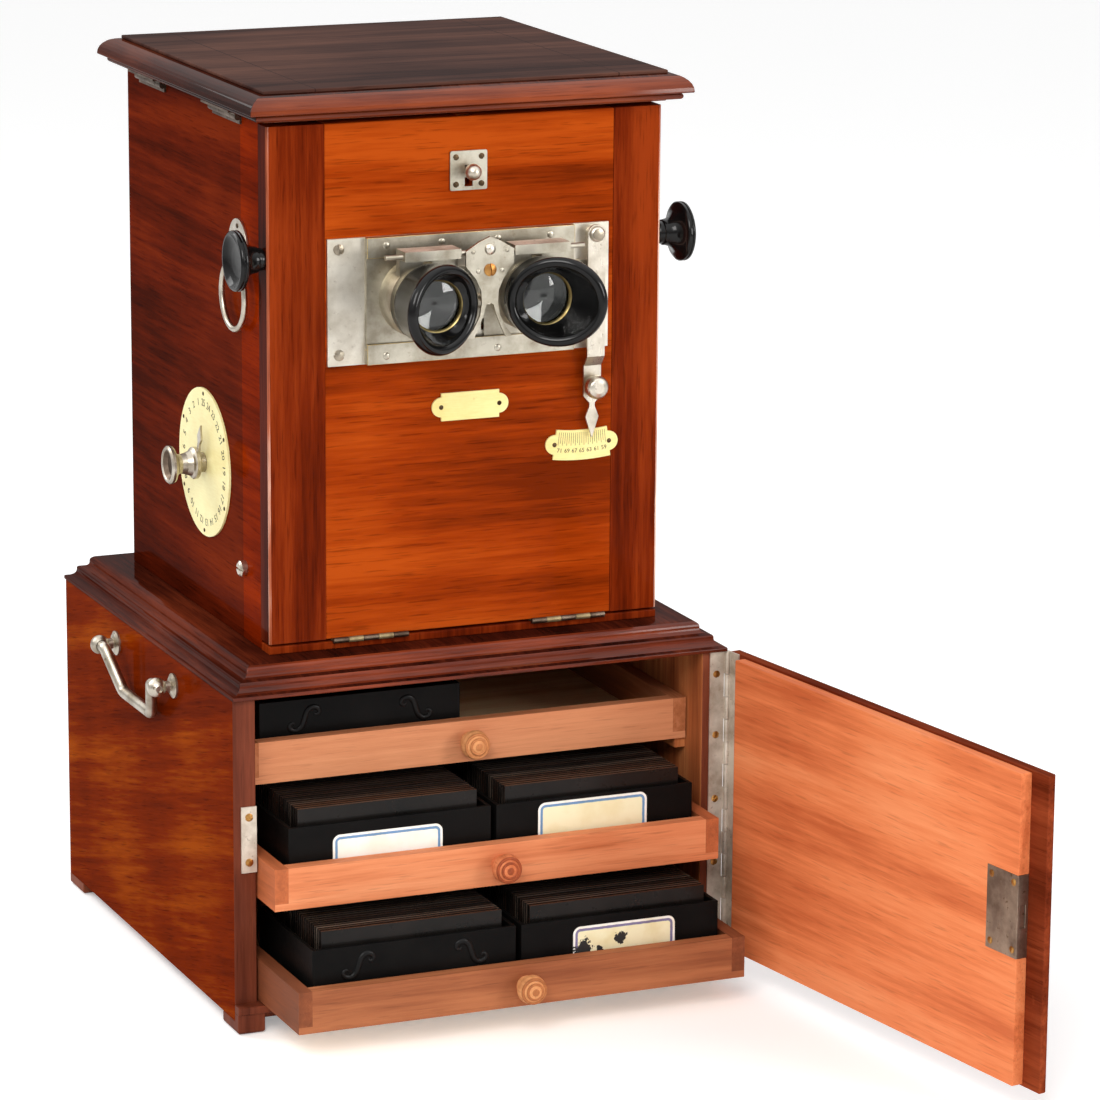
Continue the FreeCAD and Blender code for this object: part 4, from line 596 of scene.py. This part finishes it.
for side, temple in (("left", -1.0), ("right", 1.0)):
    cup = build("eyecup_form_" + side, [placed(eyecup(temple), (LENS_X[side], FACE_Y, LENS_Z), FRONT)], ebonite,
                side + "_eyepiece", smooth=55.0)
    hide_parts("eyecup_" + side)
dress("focus_knobs", ebonite)
ease_edges("focus_knobs", 0.4)

# Fixings: slotted screws, rivets and nails that hold the metal and the ivory.
# Screws sit in the surface with their slots left at any angle, and rivets are closed flush.
screw_steel = plated("screw_steel", tone(176, 166, 148), tone(120, 108, 94), 0.34, 0.8, (0.9, 0.1, 0.7))
nail_iron = plated("nail_iron", tone(96, 78, 58), tone(52, 40, 28), 0.42, 0.7, (0.6, 0.5, 0.2))
screw_brass = plated("screw_brass", tone(206, 160, 92), tone(150, 100, 52), 0.32, 0.6, (0.2, 0.9, 0.6))


def slotted_head(radius, height, slot, turn):
    """Screw head: chords across a disc, domed by the square of the radius, with a cut down the middle.
    Rows run over the top and back under the head, so each row is a closed loop."""
    wide = radius * 0.14
    left = -wide - (radius - wide) * np.cos(np.linspace(0.0, np.pi / 2.0, 8))
    x = np.concatenate([left, [-wide, wide], -left[::-1]])
    cut = np.concatenate([np.zeros(8), [slot, slot], np.zeros(8)])
    t = np.linspace(-1.0, 1.0, 11)
    half = np.sqrt(np.maximum(radius ** 2 - x ** 2, 0.0))
    top_y = half[:, None] * t[None, :]
    dome = height * (1.0 - 0.55 * (x[:, None] ** 2 + top_y ** 2) / radius ** 2) - cut[:, None]
    loop_y = np.hstack([top_y, top_y[:, ::-1]])
    loop_z = np.hstack([dome, np.full_like(dome, -0.6)])
    loop_x = np.repeat(x[:, None], loop_y.shape[1], axis=1)
    c, s = math.cos(math.radians(turn)), math.sin(math.radians(turn))
    return np.stack([c * loop_x - s * loop_y, s * loop_x + c * loop_y, loop_z], axis=-1)


def screws(name, places, axes, radius, height, body, material):
    """A set of slotted heads; each place is an (x, y, z) and a slot angle."""
    grids = [placed(slotted_head(radius, height, 0.55 * height, turn), place, axes) for place, turn in places]
    build(name, grids, material, body, round_u=False, round_v=True, smooth=35.0)


def rivets(name, places, axes, radius, height, body, material):
    """A set of low domes: a quarter wave from the middle to the edge, and a short skirt below."""
    rise = np.linspace(0.0, np.pi / 2.0, 6)
    profile = [(radius * math.sin(a), height * math.cos(a)) for a in rise] + [(radius, -0.5), (0.0, -0.5)]
    build(name, [placed(turned(profile, 20), place, axes) for place in places], material, body)


LEFT = np.array(((0.0, -1.0, 0.0), (0.0, 0.0, 1.0), (-1.0, 0.0, 0.0)))
PLATE_Y, RAIL_Y, BRIDGE_Y, IVORY_Y = -126.0, -129.8, -156.0, -125.2
CATCH, DIAL_NAIL_RING = (0.5, -125.2, 473.5), 39.8
plate_spots = ((-76.5, 434.0, 20.0), (-76.5, 375.0, 75.0), (78.0, 375.0, 140.0))
screws("lens_plate_screws", [((x, PLATE_Y, z), turn) for x, z, turn in plate_spots], FRONT, 3.1, 0.9, "drop_front",
       screw_steel)
rail_spots = [(x, RAIL_Y, z) for x in (-50.0, -17.2, 16.4, 48.0) for z in (435.4, 373.6)]
rivets("rail_rivets", rail_spots, FRONT, 2.1, 0.55, "drop_front", rail_nickel)
bridge_spots = ((-9.2, 433.5), (10.8, 433.5), (-6.2, 422.5), (7.8, 422.5))
rivets("bridge_rivets", [(x, BRIDGE_Y, z) for x, z in bridge_spots], FRONT, 1.3, 0.5, "drop_front", rail_nickel)
rivets("bridge_dome", [(0.8, BRIDGE_Y, 434.6)], FRONT, 3.3, 1.9, "drop_front", small_nickel)
screws("bridge_screw", [((0.8, BRIDGE_Y, 423.0), 8.0)], FRONT, 3.6, 1.3, "drop_front", screw_brass)
screws("lever_screw", [((74.5, -135.9, 434.6), 55.0)], FRONT, 3.2, 0.6, "drop_front", screw_steel)
catch_spots = [((CATCH[0] + x, CATCH[1], CATCH[2] + z), 40.0 + 31.0 * x + 17.0 * z)
               for x in (-7.6, 7.6) for z in (-7.6, 7.6)]
screws("catch_screws", catch_spots, FRONT, 1.7, 0.5, "drop_front", nail_iron)
strike_spots = [((-140.0, -151.0, 111.25 + z), 30.0 + 5.0 * z) for z in (-13.0, 13.0)]
screws("strike_screws", strike_spots, FRONT, 2.3, 0.6, "base", screw_brass)
hinge_spots = [((144.0, -150.8, z), 3.1 * z) for z in (30.0, 66.0, 104.0, 142.0, 178.0)]
screws("hinge_screws", hinge_spots, FRONT, 2.1, 0.5, "base", screw_brass)
ring_spots = [(-119.0, y, z) for y, z in ((-80.0, 442.5), (-89.5, 431.0), (-70.5, 431.0))]
rivets("ring_plate_nails", ring_spots, LEFT, 1.5, 0.6, "base", nail_iron)
dial_spots = [(DIAL[0], DIAL[1] + DIAL_NAIL_RING * math.cos(a), DIAL[2] + DIAL_NAIL_RING * math.sin(a))
              for a in np.radians(np.arange(30.0, 360.0, 60.0))]
rivets("dial_nails", dial_spots, LEFT, 1.2, 0.5, "base", nail_iron)
rivets("name_nails", [(x, IVORY_Y, 341.0) for x in (-15.6, 19.4)], FRONT, 1.35, 0.5, "drop_front", nail_iron)

# Ivory plates: thin slips, bevelled by hand and held by a nail in each ear.
# The nameplate is bare; the scale is a fan of lines over figures.
def aged_ivory(name, pale, yellow, stain):
    """Aged ivory: cloudy yellowing, thin growth lines and a few brown specks."""
    material, add, noise, feed = new_material(name)
    place = add("ShaderNodeTexCoord").outputs["Object"]
    cloud = noise(place, 38.0, 5.0, 0.6)
    long_lines = add("ShaderNodeMapping", {"Vector": place}, Scale=(120.0, 120.0, 1400.0)).outputs["Vector"]
    lines = noise(long_lines, 1.0, 2.0)
    speck = noise(place, 330.0, 3.0)
    both = add("ShaderNodeMix", {"A": cloud, "B": lines}, Factor=0.3)
    colour = ramp(add, both.outputs["Result"], [(0.36, yellow), (0.60, pale)])
    spots = ramp(add, speck, [(0.70, (0.0, 0.0, 0.0)), (0.80, (0.4, 0.4, 0.4))])
    marked = add("ShaderNodeMix", {"A": colour, "Factor": spots, "B": (*stain, 1.0)}, data_type="RGBA")
    feed("Base Color", marked.outputs["Result"])
    span = add("ShaderNodeMapRange", {"Value": cloud, "To Min": 0.28, "To Max": 0.50})
    feed("Roughness", span.outputs["Result"])
    bump = add("ShaderNodeBump", {"Height": lines, "Strength": 0.05, "Distance": 0.0003})
    feed("Normal", bump.outputs["Normal"])
    return material


plate_ivory = aged_ivory("plate_ivory", tone(236, 221, 150), tone(224, 204, 128), tone(150, 110, 60))
dial_ivory = aged_ivory("dial_ivory", tone(248, 238, 178), tone(238, 222, 154), tone(170, 132, 80))
engraving_black = plain_surface("engraving_black", (0.030, 0.026, 0.022), (0.016, 0.014, 0.012), 0.6, 500.0)
dress("ivory_plates", plate_ivory)
dress("dial_plate", dial_ivory)
ease_edges("ivory_plates", 0.3)


def bars(lines, width, height):
    """Filled engraved lines: each (x0, y0, x1, y1) is a flat bar, closed by shrinking its ends to a point."""
    grids = []
    for x0, y0, x1, y1 in lines:
        along = np.array((x1 - x0, y1 - y0)) / math.hypot(x1 - x0, y1 - y0)
        across = np.array((-along[1], along[0])) * width / 2.0
        loop = np.array(((1, 0.0), (1, height), (-1, height), (-1, 0.0)))
        rows = []
        for x, y, spread in ((x0, y0, 0.0), (x0, y0, 1.0), (x1, y1, 1.0), (x1, y1, 0.0)):
            flat = np.array((x, y)) + spread * loop[:, :1] * across
            rise = spread * loop[:, 1:] + (1.0 - spread) * height / 2.0
            rows.append(np.hstack([flat, rise]))
        grids.append(np.array(rows))
    return grids


def figures(name, marks, size, origin, axes, material, body):
    """Figures: each string's outlines as a thin mesh, turned about its middle and laid on a plane."""
    corners, faces, start = [], [], 0
    for text, x, y, turn in marks:
        curve = bpy.data.curves.new(name, "FONT")
        curve.body, curve.size, curve.extrude, curve.resolution_u = text, size, 0.05, 2
        curve.align_x, curve.align_y = "CENTER", "CENTER"
        holder = bpy.data.objects.new(name, curve)
        flat = bpy.data.meshes.new_from_object(holder)
        points = np.zeros(len(flat.vertices) * 3)
        flat.vertices.foreach_get("co", points)
        c, s = math.cos(turn), math.sin(turn)
        spun = points.reshape(-1, 3) @ np.array(((c, s, 0.0), (-s, c, 0.0), (0.0, 0.0, 1.0)))
        points = spun + np.array((x, y, 0.02))
        corners.append(placed(points, origin, axes) / 1000.0)
        faces += [[start + i for i in polygon.vertices] for polygon in flat.polygons]
        start += len(points)
        bpy.data.objects.remove(holder)
        bpy.data.curves.remove(curve)
        bpy.data.meshes.remove(flat)
    mesh = bpy.data.meshes.new(name)
    mesh.from_pydata(np.vstack(corners).tolist(), [], faces)
    mesh.materials.append(material)
    piece = bpy.data.objects.new(name, mesh)
    scene.collection.objects.link(piece)
    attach(piece, body)


PIVOT = (69.9, IVORY_Y, 434.6)
LINE_TOP, LONG_END, SHORT_END, FIGURE_R, EAR_R = 114.3, 121.8, 120.6, 124.8, 121.6
fan = np.radians(np.linspace(-6.9, 6.9, 23))
fan_lines = [(LINE_TOP * math.sin(a), -LINE_TOP * math.cos(a), end * math.sin(a), -end * math.cos(a))
             for a, end in zip(fan, [LONG_END, SHORT_END] * 11 + [LONG_END])]
build("scale_lines", [placed(grid, PIVOT, FRONT) for grid in bars(fan_lines, 0.22, 0.06)], engraving_black,
      "drop_front", round_u=False, round_v=True)
scale_marks = [(str(71 - 2 * i), FIGURE_R * math.sin(a), -FIGURE_R * math.cos(a), a)
               for i, a in enumerate(np.linspace(fan[1], fan[-2], 7))]
figures("scale_figures", scale_marks, 3.4, PIVOT, FRONT, engraving_black, "drop_front")
ear = math.radians(7.9)
ear_spots = [(PIVOT[0] + EAR_R * math.sin(a), IVORY_Y, PIVOT[2] - EAR_R * math.cos(a)) for a in (-ear, ear)]
rivets("scale_nails", ear_spots, FRONT, 1.35, 0.5, "drop_front", nail_iron)

# Slide dial: an ivory disc on the left side, figured from 1 to 25 round its rim.
# The figures stand with their feet to the middle; six nails hold the disc by its rim.
DIAL_STEPS, FIGURE_RING = 25, 34.4
step = 2.0 * math.pi / DIAL_STEPS
dial_marks = [(str(DIAL_STEPS - i), FIGURE_RING * math.sin(i * step), FIGURE_RING * math.cos(i * step), -i * step)
              for i in range(DIAL_STEPS - 1, -1, -1)]
figures("dial_figures", dial_marks, 6.0, DIAL, LEFT, engraving_black, "base")

# Drawer knobs: each is turned with two beads round a button on its face.
# The beads are left proud of the cove between them, as the lathe tool cut them.
KNOB_LIFT = 12.0
BEADS = ((6.8, 12.2, 0.9), (4.3, 13.6, 0.8))
round_bead = np.linspace(0.0, 2.0 * np.pi, 15)
knob_face = [turned(np.stack([r + thick * np.cos(round_bead), d + thick * np.sin(round_bead)], axis=-1), 48)
             for r, d, thick in BEADS]
knob_face.append(turned([(0.0, 14.0), (2.3, 14.0), (2.3, 14.6), (1.9, 14.9), (1.0, 15.1), (0.0, 15.2)], 32))
for level_name, (front_y, low_z) in DRAWERS.items():
    beads = [placed(form, (0.0, front_y, low_z + KNOB_LIFT), FRONT) for form in knob_face]
    wood = red_bead_wood if level_name == "middle" else bead_wood
    build("knob_beads_" + level_name, beads, wood, level_name + "_drawer")

# Inside the viewer: matt black frame and carriage, ground glass in the back, glass slides waiting in a row.
# Nothing here is polished, so no light strays past the slide that is being looked at.
matt_black = plain_surface("matt_black", (0.018, 0.017, 0.016), (0.010, 0.010, 0.010), 0.75, 320.0)
dress("viewing_frame", matt_black)
dress("tray_carriage", matt_black)
ground_glass, add, noise, feed = new_material("ground_glass")
grit = noise(add("ShaderNodeTexCoord").outputs["Object"], 900.0, 3.0)
feed("Base Color", ramp(add, grit, [(0.3, (0.78, 0.82, 0.79)), (0.7, (0.88, 0.91, 0.88))]))
rough = add("ShaderNodeMapRange", {"Value": grit, "To Min": 0.55, "To Max": 0.75})
feed("Roughness", rough.outputs["Result"])
feed("Transmission Weight", 0.55)
dress("screen_glass", ground_glass)

# Slides: pairs of thin glass plates bound with dark paper, no two quite alike.
# Their edges read as brown, black and grey lines across the trays.
SLIDE_PITCH = 0.0034


def bound_slides(name, shift):
    """Slides: a level picked at random for each pitch along the tray, with lighter patches along it, partly wear
    and partly painted reflection off the glass edges.
    """
    material, add, noise, feed = new_material(name)
    place = add("ShaderNodeTexCoord").outputs["Object"]
    lane = add("ShaderNodeSeparateXYZ", {"Vector": place})
    count = add("ShaderNodeMath", {0: lane.outputs["Y"], 1: 1.0 / SLIDE_PITCH, 2: shift}, operation="MULTIPLY_ADD")
    whole = add("ShaderNodeMath", {0: count.outputs["Value"]}, operation="FLOOR")
    half = add("ShaderNodeMath", {0: lane.outputs["X"]}, operation="SIGN")
    key = add("ShaderNodeCombineXYZ", {"X": whole.outputs["Value"], "Y": half.outputs["Value"]})
    pick = add("ShaderNodeTexWhiteNoise", {"Vector": key.outputs["Vector"]}, noise_dimensions="3D")
    streak = add("ShaderNodeMapping", {"Vector": place}, Scale=(14.0, 900.0, 60.0)).outputs["Vector"]
    worn = noise(streak, 1.0, 4.0)
    both = add("ShaderNodeMix", {"A": pick.outputs["Value"], "B": worn}, Factor=0.45)
    # The pale grey stop is partly worn paper and partly painted reflection off the glass edges.
    stops = [(0.14, tone(8, 7, 7)), (0.34, tone(20, 15, 13)), (0.46, tone(56, 36, 26)), (0.58, tone(26, 22, 21)),
             (0.74, tone(92, 80, 70))]
    feed("Base Color", ramp(add, both.outputs["Result"], stops))
    span = add("ShaderNodeMapRange", {"Value": worn, "To Min": 0.12, "To Max": 0.42})
    feed("Roughness", span.outputs["Result"])
    feed("Specular IOR Level", 0.2)
    feed("Coat Weight", 0.12)
    return material


slide_face = plain_surface("slide_face", (0.010, 0.008, 0.007), (0.005, 0.0045, 0.004), 0.30, 90.0, coat=0.10,
                           sheen=0.06)
for name, shift in (("view_slides", 0.41), ("slides_middle", 0.47), ("slides_bottom", 0.35)):
    dress(name, bound_slides("bound_" + name, shift), slide_face)
    sort_faces(name, lambda at, facing: np.where(facing[:, 1] < -0.9, 1, 0))
    ease_edges(name, 0.12)

# Slide trays: pressed and lacquered black, with a thin rim and a soft shine gone dull in places.
# Two of the left-hand trays have a pair of S scrolls raised on their fronts.
tray_lacquer = plain_surface("tray_lacquer", (0.0050, 0.0045, 0.0042), (0.0028, 0.0026, 0.0026), 0.42, 180.0,
                             coat=0.03, sheen=0.03)
for name in ("trays_top", "trays_middle", "trays_bottom"):
    dress(name, tray_lacquer)
    ease_edges(name, 0.5)
scroll_lacquer = plain_surface("scroll_lacquer", (0.0060, 0.0058, 0.0058), (0.0036, 0.0034, 0.0034), 0.40,
                               220.0, coat=0.06, sheen=0.06)
SCROLL_STEPS, SCROLL_MIRROR = 72, -124.0
SCROLL = np.array(((-101.3, 24.7), (-102.6, 26.1), (-104.4, 24.8), (-103.5, 22.4), (-99.9, 21.6),
                   (-97.0, 23.9), (-95.5, 28.0), (-94.0, 32.1), (-91.1, 34.4), (-87.5, 33.6),
                   (-86.6, 31.2), (-88.4, 29.9), (-89.7, 31.3)))


def scroll(points, mirror_about):
    """Half-round ridge on a smooth path: a cubic runs through the points, and the ridge thins to both ends."""
    t = np.linspace(0.0, len(points) - 1.0, SCROLL_STEPS)
    span = np.clip(t.astype(int), 0, len(points) - 2)
    f = (t - span)[:, None]
    a, b, c, d = (points[np.clip(span + k, 0, len(points) - 1)] for k in (-1, 0, 1, 2))
    path = 0.5 * (2.0 * b + (c - a) * f + (2.0 * a - 5.0 * b + 4.0 * c - d) * f ** 2
                  + (3.0 * b - a - 3.0 * c + d) * f ** 3)
    path[:, 0] = mirror_about - path[:, 0] if mirror_about is not None else path[:, 0]
    tangent = np.gradient(path, axis=0)
    tangent /= np.linalg.norm(tangent, axis=1, keepdims=True)
    normal = np.stack([-tangent[:, 1], tangent[:, 0]], axis=-1)
    size = 0.05 + 1.7 * np.sin(np.pi * np.linspace(0.0, 1.0, SCROLL_STEPS)) ** 0.5
    turn = np.linspace(0.0, 2.0 * np.pi, 12, endpoint=False)
    flat = path[:, None, :] + normal[:, None, :] * (size[:, None] * np.cos(turn)[None, :])[..., None]
    rise = 0.55 * size[:, None] * np.sin(turn)[None, :]
    return np.concatenate([flat, rise[..., None]], axis=-1)


for level_name, tray_y, tray_z in (("top", -119.5, 140.0), ("bottom", -203.5, 21.0)):
    pair = [placed(scroll(SCROLL, about), (0.0, tray_y, tray_z), FRONT) for about in (None, SCROLL_MIRROR)]
    build("tray_scrolls_" + level_name, pair, scroll_lacquer, level_name + "_drawer",
          round_u=False, round_v=True)

# Tray labels: gummed paper with rounded corners, a white edge, a blue line and a bare cream middle.
# The oldest has lost scraps of paper to the black below.
LABELS = {"middle_left": (-96.5, -31.0, 86.0, 113.4, -166.5, "middle_drawer", 0.0),
          "middle_right": (27.0, 94.0, 88.0, 118.2, -166.5, "middle_drawer", 0.35),
          "bottom_right": (33.0, 95.5, 26.5, 55.4, -203.5, "bottom_drawer", 1.0)}
LABEL_CORNER, LABEL_THICK = 4.5, 0.15
SCRAPS = ((-0.0250, 0.0010, 0.0085), (-0.0025, 0.0052, 0.0056), (-0.0150, -0.0010, 0.0044))


def label_paper(name, middle, torn, half_w, half_h, centre):
    """Paper label: distance to a rounded rectangle picks edge, line or middle; noise frays and stains it."""
    material, add, noise, feed = new_material(name)
    place = add("ShaderNodeTexCoord").outputs["Object"]
    at = add("ShaderNodeMapping", {"Vector": place}, Location=tuple(-v for v in centre)).outputs["Vector"]
    corner = LABEL_CORNER / 1000.0
    size = add("ShaderNodeVectorMath", {0: at}, operation="ABSOLUTE").outputs["Vector"]
    past = add("ShaderNodeVectorMath", {0: size, 1: (half_w - corner, 1.0, half_h - corner)}, operation="SUBTRACT")
    kept = add("ShaderNodeVectorMath", {0: past.outputs["Vector"], 1: (0.0, 0.0, 0.0)}, operation="MAXIMUM")
    far = add("ShaderNodeVectorMath", {0: kept.outputs["Vector"]}, operation="LENGTH").outputs["Value"]
    fray = noise(place, 420.0, 4.0)
    wobble = add("ShaderNodeMath", {0: fray, 2: far, 1: 0.0005}, operation="MULTIPLY_ADD")
    level = add("ShaderNodeMath", {0: wobble.outputs["Value"], 1: 200.0}, operation="MULTIPLY")
    line = tone(104, 146, 188) if torn < 0.5 else tone(122, 118, 156)
    border = ramp(add, level.outputs["Value"], [(0.36, middle), (0.40, line), (0.66, line),
                                                (0.70, tone(246, 246, 240))])
    cloud = noise(place, 70.0, 5.0)
    stain = ramp(add, cloud, [(0.34, tone(238, 228, 200)), (0.56, (1.0, 1.0, 1.0))])
    aged = add("ShaderNodeMix", {"A": border, "B": stain, "Factor": 0.35 + 0.3 * torn}, data_type="RGBA",
               blend_type="MULTIPLY")
    colour = aged.outputs["Result"]
    if torn > 0.5:
        rip = noise(place, 260.0, 6.0, 0.65)
        nearest = None
        for x, z, reach in SCRAPS:
            off = add("ShaderNodeVectorMath", {0: at, 1: (x, 0.0, z)}, operation="DISTANCE")
            ragged = add("ShaderNodeMath", {0: off.outputs["Value"], 2: rip, 1: 0.5 / reach},
                         operation="MULTIPLY_ADD")
            both = {0: ragged.outputs["Value"], 1: nearest or ragged.outputs["Value"]}
            nearest = add("ShaderNodeMath", both, operation="MINIMUM").outputs["Value"]
        gone = ramp(add, nearest, [(0.80, (1.0, 1.0, 1.0)), (0.82, (0.0, 0.0, 0.0))])
        holed = add("ShaderNodeMix", {"A": colour, "Factor": gone, "B": (0.012, 0.012, 0.012, 1.0)},
                    data_type="RGBA")
        colour = holed.outputs["Result"]
    feed("Base Color", colour)
    span = add("ShaderNodeMapRange", {"Value": fray, "To Min": 0.55, "To Max": 0.85})
    feed("Roughness", span.outputs["Result"])
    return material


def rounded_sheet(half_w, half_h, corner, thick):
    """Sheet with round corners: a rounded outline shrunk to its middle in rings, front and back in one loop."""
    turn = np.linspace(0.0, 2.0 * np.pi, 64, endpoint=False) + np.pi / 64.0
    x = np.sign(np.cos(turn)) * (half_w - corner) + corner * np.cos(turn)
    y = np.sign(np.sin(turn)) * (half_h - corner) + corner * np.sin(turn)
    ring = np.array((0.0, 0.5, 0.9, 1.0, 1.0, 0.0))
    rise = np.array((thick, thick, thick, thick, -0.05, -0.05))
    return np.stack([x[:, None] * ring, y[:, None] * ring, np.ones_like(x)[:, None] * rise], axis=-1)


for name, (x0, x1, z0, z1, y, body, torn) in LABELS.items():
    middle = tone(246, 244, 236) if name == "middle_left" else tone(240, 236, 198)
    half_w, half_h = (x1 - x0) / 2.0, (z1 - z0) / 2.0
    centre = np.array(((x0 + x1) / 2.0, y, (z0 + z1) / 2.0))
    paper = label_paper("label_" + name, middle, torn, half_w / 1000.0, half_h / 1000.0, centre / 1000.0)
    sheet = rounded_sheet(half_w, half_h, LABEL_CORNER, LABEL_THICK)
    build("tray_label_" + name, [placed(sheet, centre, FRONT)], paper, body)

# Door lock: a cast box let into the door's inner face, held by four screws.
# Its brass shows through the old nickel in spots.
swing = math.radians(DOOR_TURN)
c, s = math.cos(swing), math.sin(swing)
spin = np.array(((c, s, 0.0), (-s, c, 0.0), (0.0, 0.0, 1.0)))
HINGE = np.array((150.8, -151.0, 0.0))
DOOR_INSIDE = np.array(((-1.0, 0.0, 0.0), (0.0, 0.0, 1.0), (0.0, 1.0, 0.0))) @ spin
lock_spots = [((np.array((x, -145.0, z)) - HINGE) @ spin + HINGE, 7.0 * z + x)
              for x in (-130.6, -111.4) for z in (92.6, 129.9)]
screws("lock_screws", lock_spots, DOOR_INSIDE, 2.0, 0.5, "cabinet_door", screw_brass)
